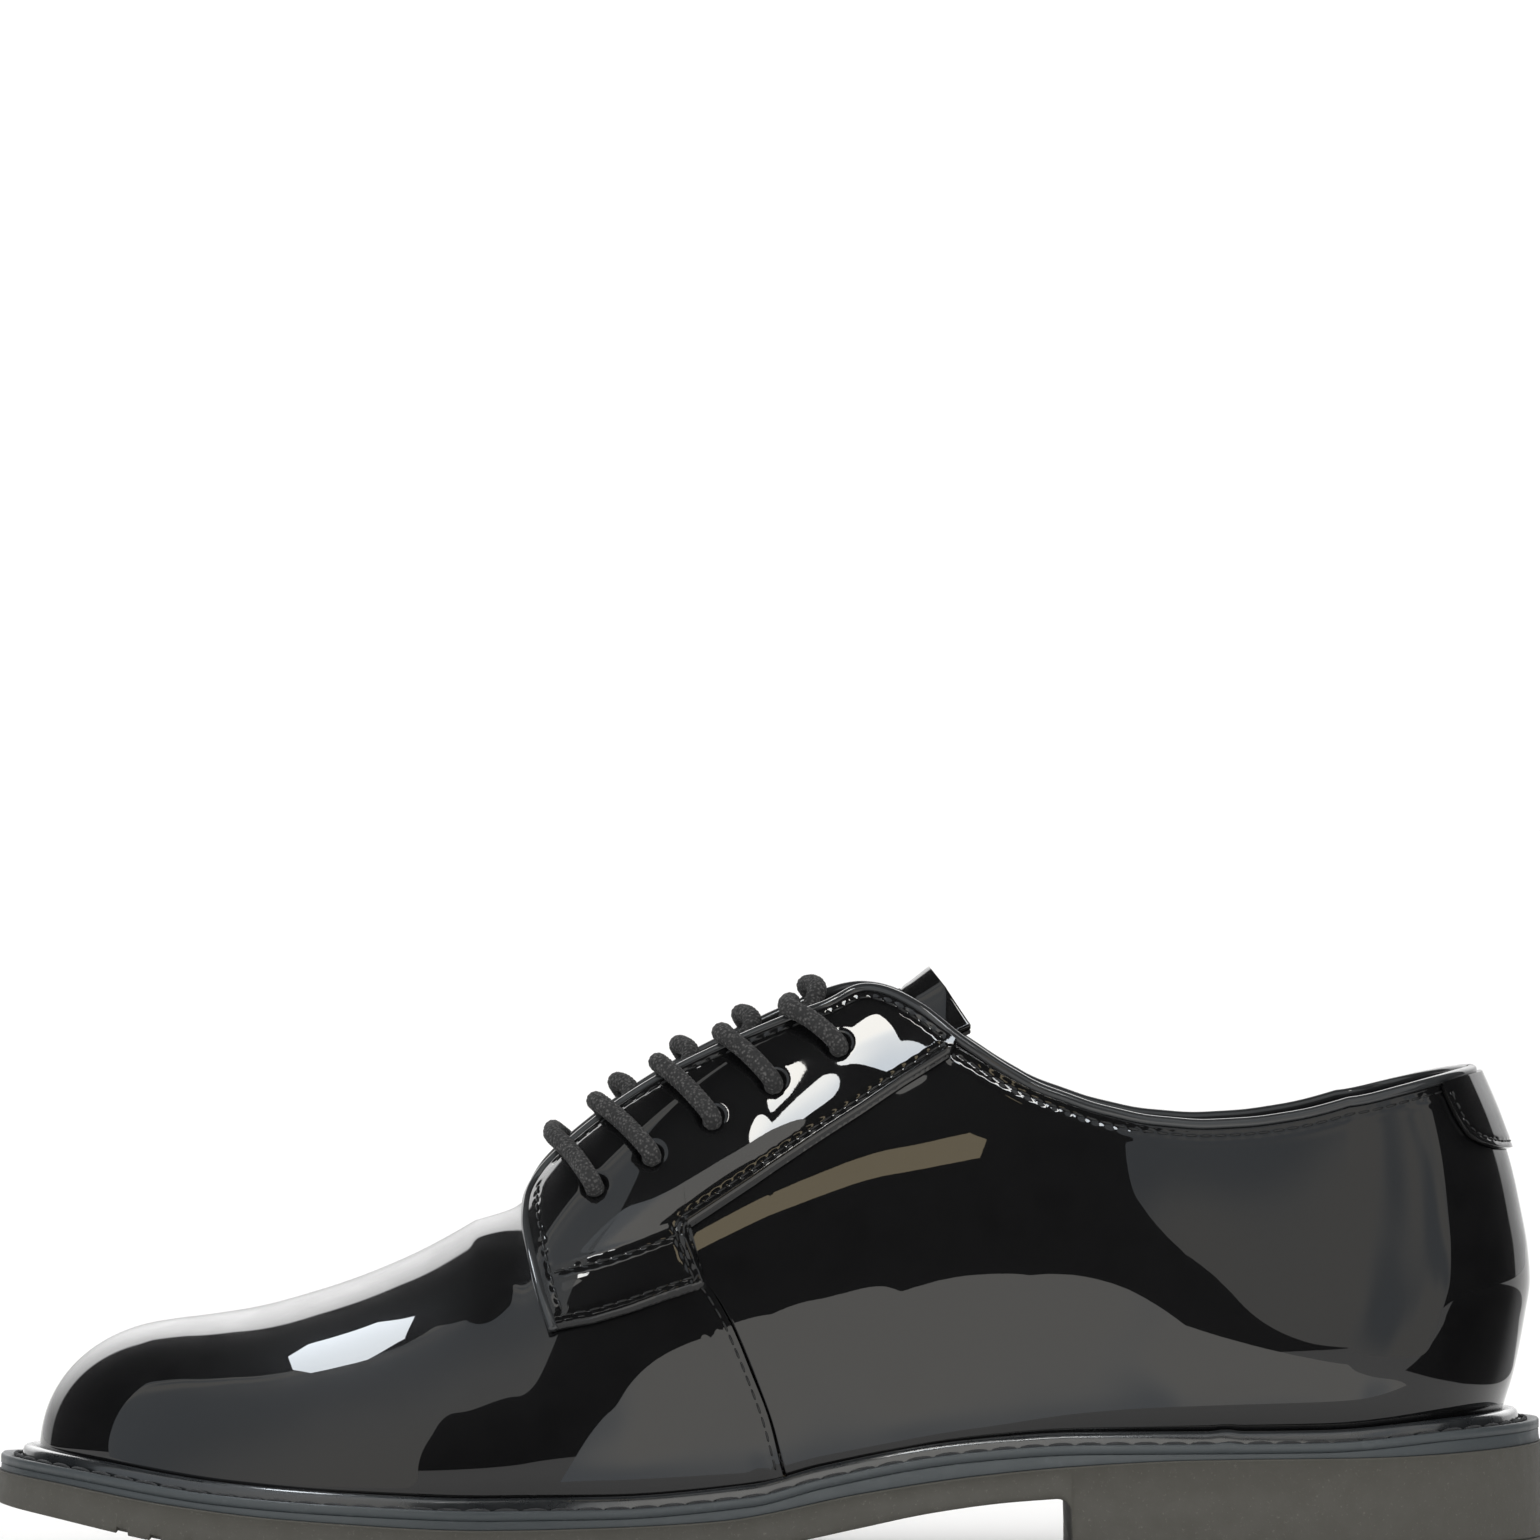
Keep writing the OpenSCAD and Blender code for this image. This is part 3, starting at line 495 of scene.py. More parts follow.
def patent_material(name, dark=(0.0012, 0.0012, 0.0014), light=(0.0028, 0.0028, 0.0032), coat_rough=0.012):
    m, tree, shader = material(name)
    wave = finish_of(tree, shader, mixed(tree, noise(tree, 40), dark, light), (130, 0.4, 0.6),
                     [(noise(tree, 60, 2, 0.4), 0.12, 0.12), (noise(tree, 500, 2), 0.1, 0.008)])
    fill(tree, shader, {"Specular IOR Level": 0.05, "Coat Weight": 1.0, "Coat Roughness": coat_rough,
                        "Coat IOR": 1.52, "Coat Normal": wave})
    return m


def leather_material(name, dark, light, rough=0.6, grain=900):
    m, tree, shader = material(name)
    finish_of(tree, shader, mixed(tree, noise(tree, 90, 5), dark, light), (300, rough - 0.08, rough + 0.1),
              [(cells(tree, grain), 0.5, 0.12), (noise(tree, 120), 0.3, 0.3)])
    return m


def rubber_material(name, dark, light, rough, speckle, coat=0.0):
    m, tree, shader = material(name)
    fleck = ramp(tree, noise(tree, speckle, 2, 0.7), 0.6, 0.75, 0, 1)
    finish_of(tree, shader, mixed(tree, fleck, dark, light), (220, rough - 0.06, rough + 0.08),
              [(noise(tree, 1500, 4), 0.35, 0.08), (noise(tree, 60), 0.2, 0.3)])
    fill(tree, shader, {"Coat Weight": coat, "Coat Roughness": 0.12})
    return m


def cloth_material(name, dark, light):
    m, tree, shader = material(name)
    finish_of(tree, shader, mixed(tree, noise(tree, 500, 4, 0.7), dark, light), (700, 0.75, 0.95),
              [(cells(tree, 1800), 0.6, 0.12), (noise(tree, 3500, 2), 0.5, 0.05)])
    fill(tree, shader, {"Sheen Weight": 0.06, "Sheen Roughness": 0.4})
    return m


def braid_material(name, dark, light):
    """Cotton braid: small strands that catch the light, each painted lighter on its crown as a highlight,
    with fuzz that varies the tone.
    """
    m, tree, shader = material(name)
    strand_height_and_highlight = ramp(tree, cells(tree, 1500), 0.1, 0.6, 1, 0)
    fuzz = ramp(tree, noise(tree, 2200, 3, 0.7), 0.35, 0.65, 0.25, 1)
    # The crowns of the strands are painted lighter as a highlight; the fuzz varies the tone at random.
    fuzz_and_painted_highlight = combined(tree, "MULTIPLY", strand_height_and_highlight, fuzz)
    finish_of(tree, shader, mixed(tree, fuzz_and_painted_highlight, dark, light), (700, 0.8, 0.95),
              [(strand_height_and_highlight, 0.7, 0.18), (noise(tree, 3000, 2), 0.5, 0.06)])
    fill(tree, shader, {"Specular IOR Level": 0.2, "Sheen Weight": 0.05})
    return m


def cork_material(name):
    m, tree, shader = material(name)
    grains = cells(tree, 450)
    finish_of(tree, shader, mixed(tree, grains, (0.25, 0.14, 0.06), (0.5, 0.33, 0.18)), (300, 0.75, 0.95),
              [(grains, 0.8, 0.4)])
    return m


def metal_material(name, dark, light, rough):
    m, tree, shader = material(name)
    finish_of(tree, shader, mixed(tree, noise(tree, 200, 4), dark, light), (900, rough, rough + 0.12),
              [(noise(tree, 1200), 0.2, 0.05)])
    fill(tree, shader, {"Metallic": 0.9})
    return m


PATENT = patent_material("patent_leather")
# The binding is patent too, but its base colour is many times lighter than the patent's: a painted highlight
# along the roll of the binding.
BINDING_PAINTED_HIGHLIGHT = patent_material("edge_binding", (0.018, 0.019, 0.02), (0.036, 0.038, 0.04), 0.06)
LINING = leather_material("lining_leather", (0.02, 0.018, 0.017), (0.05, 0.046, 0.043))
SOCK = leather_material("sock_leather", (0.012, 0.012, 0.013), (0.03, 0.03, 0.031), 0.5)
BOARD = leather_material("fibre_board", (0.3, 0.22, 0.14), (0.46, 0.36, 0.25), 0.85, 600)
INTERLINING = cloth_material("interlining_cloth", (0.5, 0.46, 0.38), (0.68, 0.64, 0.55))
CORK = cork_material("cork")
STEEL = metal_material("shank_steel", (0.3, 0.3, 0.31), (0.5, 0.5, 0.52), 0.25)
FOAM = cloth_material("heel_foam", (0.5, 0.46, 0.36), (0.66, 0.62, 0.52))
OUTSOLE = rubber_material("outsole_rubber", (0.066, 0.063, 0.053), (0.1, 0.096, 0.082), 0.75, 1500)
MIDSOLE = rubber_material("midsole_rubber", (0.045, 0.054, 0.059), (0.055, 0.065, 0.07), 0.5, 400)
WELT = rubber_material("welt_rubber", (0.011, 0.013, 0.015), (0.017, 0.019, 0.021), 0.3, 300, coat=1.0)
# The welt's flange and edge take the midsole's blue-grey, lighter than the dark bead of the same strip:
# partly the inked edge's own tone, partly a painted reflection of the edge that faces the view.
FLANGE_INK_AND_PAINTED_REFLECTION = rubber_material("welt_edge_ink_and_painted_reflection", (0.045, 0.054, 0.059), (0.055, 0.065, 0.07), 0.45, 400)
THREAD = rubber_material("thread", (0.003, 0.003, 0.0035), (0.006, 0.006, 0.007), 0.5, 900, coat=0.12)
LOCK_THREAD = cloth_material("welt_thread", (0.012, 0.012, 0.013), (0.04, 0.042, 0.045))
LACE = braid_material("lace_cotton", (0.028, 0.028, 0.0285), (0.13, 0.128, 0.126))
AGLET = rubber_material("aglet_plastic", (0.008, 0.008, 0.009), (0.014, 0.014, 0.015), 0.25, 300, coat=0.8)
EYELET = rubber_material("eyelet_enamel", (0.006, 0.006, 0.007), (0.012, 0.012, 0.013), 0.3, 400, coat=0.4)

# The finish of each CAD node, by its name without its side
FINISHES = {
    "outsole": OUTSOLE, "heel_lift": OUTSOLE, "midsole": MIDSOLE, "storm_welt": WELT,
    "welt_thread": LOCK_THREAD, "cork_filler": CORK, "shank": STEEL, "insole_board": BOARD,
    "heel_pad": FOAM, "sock_liner": SOCK, "vamp": PATENT, "vamp_lining": LINING, "toe_puff": BOARD,
    "quarter": PATENT, "quarter_lining": LINING, "interlining": INTERLINING, "heel_counter": BOARD,
    "facing": PATENT, "heel_tab": PATENT, "binding": BINDING_PAINTED_HIGHLIGHT, "eyelets": EYELET, "lace": LACE,
    "lace_end": LACE, "aglet": AGLET, "tongue": PATENT, "tongue_lining": LINING,
}
for name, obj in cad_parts.items():
    obj.data.materials.clear()
    obj.data.materials.append(FINISHES[name.removesuffix("_inner").removesuffix("_outer")])


def add_piece(name, mesh, finish, slot, *nodes, bevel=0.0, body="shoe"):
    """A finished piece from its points and faces, standing for the nodes that it replaces."""
    piece = clean(make_object(name, *mesh, finish), bevel)
    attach(piece, body)
    if nodes:
        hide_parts(*nodes)
    return piece


# ---- Upper: vamp, quarters, facings, heel tab ----

SIDES = {"inner": -1, "outer": 1}
stitches = Pieces()


def sewn(places, d, pitch=STITCH_PITCH, length=STITCH_LENGTH, radius=STITCH_R):
    """Adds a row of stitches along the places and returns its line of points."""
    add_stitches(stitches, skin(places, d - 0.1), normal_at(places, d), pitch, length, radius)
    return skin(places, d)


def inset(places, distance, towards=1):
    """The places moved sideways along the surface, to the left of their own direction of travel."""
    here = skin(places, 0)
    t = np.gradient(here, axis=0)
    t /= np.linalg.norm(t, axis=1, keepdims=True)
    aside = np.cross(normal_at(places, 0), t) * towards
    es, ea = (slope / (2 * NUDGE) for slope in slopes(places, 0))
    a11, a12, a22 = (es * es).sum(1), (es * ea).sum(1), (ea * ea).sum(1)
    b1, b2 = (es * aside).sum(1), (ea * aside).sum(1)
    det = a11 * a22 - a12 * a12
    out = places.copy()
    out[:, 0] += distance * (b1 * a22 - b2 * a12) / det
    out[:, 1] += distance * (b2 * a11 - b1 * a12) / det
    return out


def angle_at_gap(x, side):
    """Angle of the edge beside the gap that the lace closes."""
    gap = LACE_GAP + curve([[-46, 2], [-30, 0], [0, 0.5], [17, 1.5]], x)
    mid = curve(RIDGE_Y, x)
    wide = mid - curve(EDGE_INNER, x) if side < 0 else curve(EDGE_OUTER, x) - mid
    return np.degrees(np.arccos((gap / wide) ** (curve(POWER, x) / 2)))


def lace_edge(side):
    x = np.arange(-44, 12.01, 6.2)
    return places_at(x, angle_at_gap(x, side), side)


def top_edge(side):
    return np.concatenate([lace_edge(side), place(TOPLINE, side)])


def along_surface(places, n, window=6):
    """Evenly spaced places along a line of places, with its corners rounded over a window in mm."""
    along = measured(skin(places, 0))
    q = resampled(places, along, FINE_STEPS)
    w = max(int(window / along[-1] * FINE_STEPS) // 2, 1)
    for _ in range(2):
        pad = np.concatenate([2 * q[:1] - q[w:0:-1], q, 2 * q[-1:] - q[-2:-w - 2:-1]])
        total = np.cumsum(np.concatenate([np.zeros((1, 3)), pad]), axis=0)
        q = (total[2 * w + 1:] - total[:-2 * w - 1]) / (2 * w + 1)
    return resampled(q, measured(skin(q, 0)), n)


VAMP_SIZE = 240, 221
VAMP_THROAT = [place([p], 1)[0, [1, 0]].tolist() for p in SEAM] + [[90, -45.2]]


def vamp_grid(offset, cols, rows):
    a = np.linspace(0, 180, rows)[None]
    near = np.minimum(a, 180 - a)
    start = TOE_TIP - offset
    share = 1 - np.cos(np.pi / 2 * np.linspace(0, 1, cols))[:, None]
    s = start + (curve(VAMP_THROAT, near) - start) * share
    return places_at(s, near, np.where(a <= 90, -1, 1))


def vamp_points(layer_d, cols, rows, extra=None):
    grid = vamp_grid(layer_d, cols, rows)
    # The middle goes down under the lacing
    dip = curve([[-58, 0], [-46, 3.5]], grid[..., 0]) * sin(grid[..., 1]) ** 4
    d = layer_d - dip + (extra(grid) if extra is not None else 0)
    return skin(grid, d)


def seam_row(side):
    """Row of stitches on the vamp, just ahead of its edge over the quarter."""
    return along_surface(place([[x - 1.1, z] for x, z in SEAM[1:7]], side), 260)


def build_vamp():
    # The edge over the quarters stands a little proud
    lip = lambda g: 0.5 * np.clip(1 - (curve(VAMP_THROAT, g[..., 1]) - g[..., 0]) / 5, 0, 1) ** 0.7
    outer, inner = vamp_points(VAMP_LAYER[1], *VAMP_SIZE, lip), vamp_points(VAMP_LAYER[0], *VAMP_SIZE)
    rows = [sewn(seam_row(side), VAMP_LAYER[1] + 0.4) for side in (-1, 1)]
    outer = creased(outer, normal_at(vamp_grid(VAMP_LAYER[1], *VAMP_SIZE), 0), rows)
    add_piece("vamp_skin", sheet_mesh(outer, inner), PATENT, "patent_leather", "vamp", bevel=EDGE_BEVEL)
    lining, inside = vamp_points(LINING_LAYER[1], 80, 61), vamp_points(LINING_LAYER[0], 80, 61)
    add_piece("vamp_lining_skin", sheet_mesh(lining, inside), LINING, "lining_leather", "vamp_lining")


def quarter_grid(side, cols, rows):
    foot = SEAM[0][0] + 0.4
    top = lowered(along_surface(top_edge(side), cols), BINDING_TUCK)
    top[-1] = [BACK_S, top[-1][1], side]
    front = along_surface(np.concatenate([place(SEAM, side) + [0.5, 0, 0], top[:1]]), rows)
    front[0], front[-1] = [foot, 0, side], top[0]
    return coons(np.linspace([foot, 0, side], [BACK_S, 0, side], cols), top, front,
                 np.linspace([BACK_S, 0, side], top[-1], rows))


def edge_row(side):
    """Row of stitches under the rolled binding, from the lace edge to the back."""
    return inset(along_surface(top_edge(side), 900), 1.5 + BINDING_D / 2, side)


def build_quarter(name, side):
    grid = quarter_grid(side, 330, 150)
    row = edge_row(side)
    rows = [sewn(row[(row[:, 0] > 36) & (row[:, 0] < 136)], QUARTER_LAYER[1])]
    outer = creased(skin(grid, QUARTER_LAYER[1]), normal_at(grid, 0), rows)
    mesh = sheet_mesh(outer, skin(grid, QUARTER_LAYER[0]), side > 0)
    add_piece(f"quarter_{name}_skin", mesh, PATENT, "patent_leather", f"quarter_{name}", bevel=EDGE_BEVEL)
    coarse = grid[::3, ::3]
    mesh = sheet_mesh(skin(coarse, LINING_LAYER[1]), skin(coarse, LINING_LAYER[0]), side > 0)
    add_piece(f"quarter_lining_{name}_skin", mesh, LINING, "lining_leather", f"quarter_lining_{name}")


def facing_edges(side, cols, rows):
    edge = np.concatenate([place([[-46.6, 72]], side), lace_edge(side), place(TOPLINE[:4], side)])
    top = lowered(along_surface(edge, cols), BINDING_TUCK)
    foot = along_surface(place(FACING_FOOT, side), cols, 1.6)
    front = along_surface(np.concatenate([place(FACING_FRONT, side), top[:1]]), rows, 4)
    front[0], front[-1] = foot[0], top[0]
    return foot, top, front, np.linspace(foot[-1], top[-1], rows)


# Row of stitches that closes the tab off from the facing
TAB_ROW = [[-42.5, 55.6], [-33.6, 57.6], [-25.8, 60.2], [-17.6, 63.2]]
FOOT_ROW_INSET, FRONT_ROW_INSET = 2.3, 2.7


def build_facing(name, side):
    d = FACING_LAYER[1]
    foot, _, front, _ = facing_edges(side, 700, 300)
    row = edge_row(side)
    # Rows stop short of the corners
    rows = [
        sewn(inset(foot, FOOT_ROW_INSET, -side)[12:-4], d),
        sewn(inset(front, FRONT_ROW_INSET, side)[24:-6], d),
        sewn(row[row[:, 0] < 33][6:], d),
        sewn(along_surface(place(TAB_ROW, side), 200), d),
    ]
    grid = coons(*facing_edges(side, 260, 110))
    outer = skin(grid, d)
    # The foot of the facing is folded under, so its edge is a soft roll
    fold, _ = nearest(outer, skin(foot, d))
    roll = 0.95 * (1 - np.sqrt(np.clip(1 - (1 - np.clip(fold / 1.1, 0, 1)) ** 2, 0, 1)))
    roll -= 0.22 * np.exp(-((fold - 1.2) / 0.5) ** 2)
    normals = normal_at(grid, 0)
    outer = creased(outer - normals * roll[..., None], normals, rows)
    # The leather is drawn down a little where each lace goes in
    for eyelet in EYELETS:
        far = np.linalg.norm(outer - skin(place([eyelet], side), d)[0], axis=-1)
        outer = outer - normals * (0.75 * np.exp(-(far / 2.3) ** 4))[..., None]
    mesh = sheet_mesh(outer, skin(grid, FACING_LAYER[0]), side > 0)
    add_piece(f"facing_{name}_skin", mesh, PATENT, "patent_leather", f"facing_{name}", bevel=0.25)


def build_binding(name, side):
    edge = np.concatenate([place(FACING_FRONT, side), place([[-46.6, 72]], side), top_edge(side)])
    places = along_surface(edge, 420, 5)
    path = skin(places, curve([[30, 0.9], [50, -1]], places[:, 0]))
    path[-1, 1] = CENTRE_SHIFT + side * 0.2
    mesh = tube_mesh(path, BINDING_D / 2, 14)
    add_piece(f"binding_{name}_roll", mesh, BINDING_PAINTED_HIGHLIGHT, "edge_binding", f"binding_{name}")


TAB_FOOT = [[135, 91], [136.5, 86], [139, 82.5], [143, 80.8], [150, 79.8], [162, 79.5]]


def build_heel_tab():
    edge = np.array([[p[0], lowered(p[None], BINDING_TUCK)[0, 1]] for p in place(TOPLINE[8:], 1)])
    s = TAB_FOOT[0][0] + (BACK_S - TAB_FOOT[0][0]) * (1 - np.cos(np.pi / 2 * np.linspace(0, 1, 90)))
    low, high = angle_at(s, curve(TAB_FOOT, s)), curve(edge, s)
    v = np.linspace(0, 1, 50)

    def half(side):
        a = low[:, None] * (1 - v) + high[:, None] * v
        return places_at(s[:, None], a, side)

    grid = np.concatenate([half(-1), half(1)[::-1][1:]])
    rows = []
    for side in (-1, 1):
        row = inset(along_surface(places_at(s, low, side), 300, 2), 1.3, -side)[8:]
        rows.append(sewn(row, HEEL_TAB_LAYER[1], pitch=1.9, length=1.5, radius=0.2))
    outer = creased(skin(grid, HEEL_TAB_LAYER[1]), normal_at(grid, 0), rows, 0.2, 0.5)
    mesh = sheet_mesh(outer, skin(grid, HEEL_TAB_LAYER[0]))
    add_piece("heel_tab_skin", mesh, PATENT, "patent_leather", "heel_tab", bevel=EDGE_BEVEL)


build_vamp()
for name, side in SIDES.items():
    build_quarter(name, side)
    build_facing(name, side)
    build_binding(name, side)
build_heel_tab()

# ---- Lace ----

END_INNER = [[14, -11.1, 91.5], [14.8, -13, 86], [16.5, -14.8, 79], [20, -16.6, 71],
             [26, -18.4, 62], [34, -20, 53], [43, -21, 45], [53, -21.4, 38], [65, -20.5, 33.2],
             [79, -19.5, 31.4], [92, -18.5, 31.4], [104, -15.5, 31.4], [111, -7.5, 31.6],
             [111, 1.5, 31.6], [104, 7.5, 31.4], [93, 8.5, 31.4]]
END_OUTER = [[14, 17.2, 92], [14.8, 20, 86], [16.5, 23, 79], [20, 25.8, 71], [26, 27.5, 62],
             [34, 28.5, 53], [43, 28.5, 45], [53, 28, 38], [65, 26, 33.2], [79, 23.5, 31.4],
             [91, 21.5, 31.4], [103, 18.5, 31.4], [113, 13.5, 31.8], [120, 6.5, 32.2],
             [122.5, -1.5, 32.4]]
LACE_R = LACE_D / 2
LACE_SIDES, LACE_RINGS, END_RINGS = 36, 2700, 420
STRANDS, BRAID_LAY = 6, 6.6
# Heights of the lace over the skin: under the lining, in a bore, and in the middle of the gap
UNDER, IN_BORE, CROSSING = -5.8, -1.4, -0.9
# How far ahead of its eyelet each strand comes over the edge
RIM_AHEAD_INNER, RIM_AHEAD_OUTER = 8.6, 4.7


def hole(k, side, d):
    p = place([EYELETS[k]], side)
    return (skin(p, 0) + normal_at(p, 0) * d)[0]


def over_edge(x, side):
    p = places_at([x], angle_at_gap(x, side), side)
    return (skin(p, 0) + normal_at(p, 0) * (LACE_R + BINDING_D / 2 + 1.2))[0]


def crossing(k, side):
    """From under eyelet k on one side, up through the gap and over the other edge into the next."""
    x = EYELETS[k + 1][0] - (RIM_AHEAD_INNER if side > 0 else RIM_AHEAD_OUTER)
    near = EYELETS[k][0] * 0.6 + x * 0.4
    start, edge = place([EYELETS[k]], side)[0], places_at(near, angle_at_gap(near, side), side)
    rim, above = over_edge(x, -side), hole(k + 1, -side, LACE_R + 2)
    return [hole(k, side, UNDER), skin(start * 0.45 + edge * 0.55, UNDER), skin(edge, UNDER + 0.3),
            skin(np.array([x - side * 0.6, 90.0, side]), CROSSING), rim,
            (rim + above) / 2 + [0, -side * 0.8, 0.8], above, hole(k + 1, -side, IN_BORE)]


def strand(side):
    """From the front eyelet on one side, over and back, to where the lace goes in under the tongue."""
    last = len(EYELETS) - 1
    points = [p for k in range(last) for p in crossing(k, side if k % 2 == 0 else -side)]
    return points + [hole(last, side, UNDER + 0.8), np.array((END_INNER if side < 0 else END_OUTER)[0])]


def bar_half(side):
    rim, above = over_edge(-40, side), hole(0, side, LACE_R + 2)
    return [rim, (rim + above) / 2 + [0, side * 0.8, 0.8], above, hole(0, side, IN_BORE)]


def braid(path):
    """Radius of a round braid for each ring and side."""
    angle = around(LACE_SIDES)[None]
    turn = 2 * np.pi * measured(path)[:, None] / BRAID_LAY
    weave = np.cos(STRANDS * (angle + turn)) + np.cos(STRANDS * (angle - turn))
    return LACE_R * (0.96 + 0.03 * weave)


def build_cord(node_name, path):
    mesh = tube_mesh(path, braid(path), LACE_SIDES)
    return add_piece(f"{node_name}_braid", mesh, LACE, "lace_cotton", node_name)


def build_lace():
    start, finish = bar_half(-1), bar_half(1)
    route = (start + strand(-1))[::-1] + [(start[0] + finish[0]) / 2 + [0, 0, 0.3]] + finish + strand(1)
    build_cord("lace", spaced(glide(route, np.linspace(0, 1, 6000)), LACE_RINGS))


build_lace()
for name, ends in (("inner", END_INNER), ("outer", END_OUTER)):
    path = spaced(glide(ends, np.linspace(0, 1, 1500)), END_RINGS)
    end = build_cord(f"lace_end_{name}", path)

# ---- Tongue ----

TONGUE_FRONT, TONGUE_BACK, TONGUE_SLANT, TONGUE_ROW_INSET = -46, 31, 8, 6
TONGUE_WIDE = [[-46, 34], [-20, 36], [10, 34], [39, 32]]
TONGUE_LIFT = [[16, 0], [34, 6.4]]


def tongue_places(x, across):
    a = 90 + across * curve(TONGUE_WIDE, x)
    return places_at(x, np.minimum(a, 180 - a), np.where(a < 90, -1, 1))


def tongue_grid(cols, rows):
    u, across = np.linspace(0, 1, cols)[:, None], np.linspace(-1, 1, rows)[None]
    x = TONGUE_FRONT + (TONGUE_BACK - TONGUE_FRONT) * u + TONGUE_SLANT * u * across ** 2
    return tongue_places(x, across)


def build_tongue():
    grid = tongue_grid(150, 110)
    lift = curve(TONGUE_LIFT, grid[..., 0])
    across = np.linspace(-0.95, 0.95, 300)
    x = TONGUE_BACK + TONGUE_SLANT * across ** 2 - TONGUE_ROW_INSET
    end = tongue_places(x, across)
    row = skin(end, TONGUE_LAYER[1] + curve(TONGUE_LIFT, x))
    pieces = Pieces()
    add_stitches(pieces, row, normal_at(end, 0), STITCH_PITCH, STITCH_LENGTH, STITCH_R)
    add_piece("tongue_stitches", pieces.mesh(), THREAD, "thread", body="tongue")
    for name, layer, finish, slot in (("tongue", TONGUE_LAYER, PATENT, "patent_leather"),
                                      ("tongue_lining", TONGUE_LINING_LAYER, LINING, "lining_leather")):
        outer = skin(grid, layer[1] + lift)
        if name == "tongue":
            outer = creased(outer, normal_at(grid, 0), [row])
        mesh = sheet_mesh(outer, skin(grid, layer[0] + lift))
        add_piece(f"{name}_skin", mesh, finish, slot, name, bevel=EDGE_BEVEL, body="tongue")


build_tongue()

# ---- Sole ----

TOE_ROUND = -132
CAP_ROWS = 24


def stations(e_tip):
    """Stations from the toe to the back of the heel, close together at the edges of the grooves."""
    toe = TOE_ROUND - (TOE_ROUND - TOE_TIP + e_tip) * np.cos(np.pi / 2 * np.linspace(0, 1, 60)[:-1])
    even = np.concatenate([np.arange(TOE_ROUND, 55, 1.1), np.linspace(55, HEEL_BREAST, 13),
                           np.arange(HEEL_BREAST + 0.9, HEEL_S, 1.3)])
    sharp = np.array([g + side * (GROOVE_W / 2 + w) for g in GROOVES for side in (-1, 1) for w in (0, 0.2)])
    sharp = np.append(sharp[sharp < HEEL_S], HEEL_BREAST + 0.15)
    kept = even[np.abs(even[:, None] - sharp[None]).min(axis=1) > 0.14]
    return np.concatenate([toe, np.sort(np.concatenate([kept, sharp])),
                           np.linspace(HEEL_S, BACK_S, 91)])


def groove(x):
    """1 in the grooves of the tread and 0 between them."""
    far = np.abs(np.asarray(x)[..., None] - np.array(GROOVES)).min(axis=-1)
    return np.clip((GROOVE_W / 2 + 0.2 - far) / 0.2, 0, 1)


def outline(e, level):
    """Closed outline round the foot at the offset e(x), with its height from level(x)."""
    s = stations(float(e(TOE_TIP)))
    halves = []
    for side in (-1, 1):
        q = skin(places_at(s, 0, side), e(x_of(s)))
        q[:, 2] = level(q[:, 0])
        halves.append(q)
    return np.concatenate([halves[0], halves[1][::-1][1:-1]])


def band_faces(count, n):
    """Faces between closed loops of n points each."""
    k, j = np.meshgrid(np.arange(count - 1), np.arange(n), indexing="ij")
    a, b = k * n + j, k * n + (j + 1) % n
    return np.stack([a, a + n, b + n, b], -1).reshape(-1, 4).tolist()


def cap_mesh(loop, level=None):
    """Points and faces that close a loop, in rows between its left and its right side."""
    half = len(loop) // 2
    left, right = loop[:half + 1], np.concatenate([loop[:1], loop[:half - 1:-1]])
    t = np.linspace(0, 1, CAP_ROWS)[None, :, None]
    grid = left[:, None] * (1 - t) + right[:, None] * t
    if level is not None:
        grid[:, 1:-1, 2] = level(grid[:, 1:-1])
    return grid.reshape(-1, 3), grid_faces(half + 1, CAP_ROWS).tolist()


def slab_mesh(loops, bottom=None):
    """A closed slab through the loops, whose underside may have a height of its own."""
    pieces = Pieces()
    pieces.add(np.concatenate(loops), band_faces(len(loops), len(loops[0])))
    pieces.add(*cap_mesh(loops[0], bottom))
    pieces.add(*cap_mesh(loops[-1]))
    return pieces.mesh()


def welt_out(x):
    return curve(WELT_OUT, x)


def ground(x):
    """Underside of the sole, with a small round where the waist meets the heel."""
    q = np.clip((x - (HEEL_BREAST - 3)) / 3, 0, 1)
    waist = curve(GROUND_Z, x) - 3 * (1 - np.sqrt(1 - q * q))
    return np.where(x <= HEEL_BREAST, waist, HEEL_LIFT_H)


def over(e):
    """The offset of an outline that runs e outside the widest part of the sole's side."""
    return lambda x: welt_out(x) + SOLE_FLARE + e


def build_outsole():
    top = lambda x: curve(PARTING_Z, x)
    tread = lambda x: np.where(x < 0, groove(x), 0)
    loops = [
        outline(over(-0.9), lambda x: ground(x) + GROOVE_DEPTH * tread(x)),
        outline(over(-0.45), lambda x: ground(x) + 0.12 + (GROOVE_DEPTH - 0.09) * tread(x)),
        outline(over(-0.1), lambda x: ground(x) + 0.45 + (GROOVE_DEPTH - 0.38) * tread(x)),
        outline(over(0), lambda x: ground(x) + 1.3),
        outline(over(-SOLE_FLARE * 0.2), lambda x: (ground(x) + top(x)) / 2),
        outline(lambda x: welt_out(x) + 0.5, lambda x: top(x) - 0.55),
        outline(lambda x: welt_out(x) + 0.85, lambda x: top(x) - 0.3),
        outline(lambda x: welt_out(x) + 0.8, lambda x: top(x) - 0.1),
        outline(lambda x: welt_out(x) + 0.3, top),
    ]
    mesh = slab_mesh(loops, bottom=lambda q: ground(q[..., 0]) + 0.35 * tread(q[..., 0]))
    add_piece("outsole_body", mesh, OUTSOLE, "outsole_rubber", "outsole")


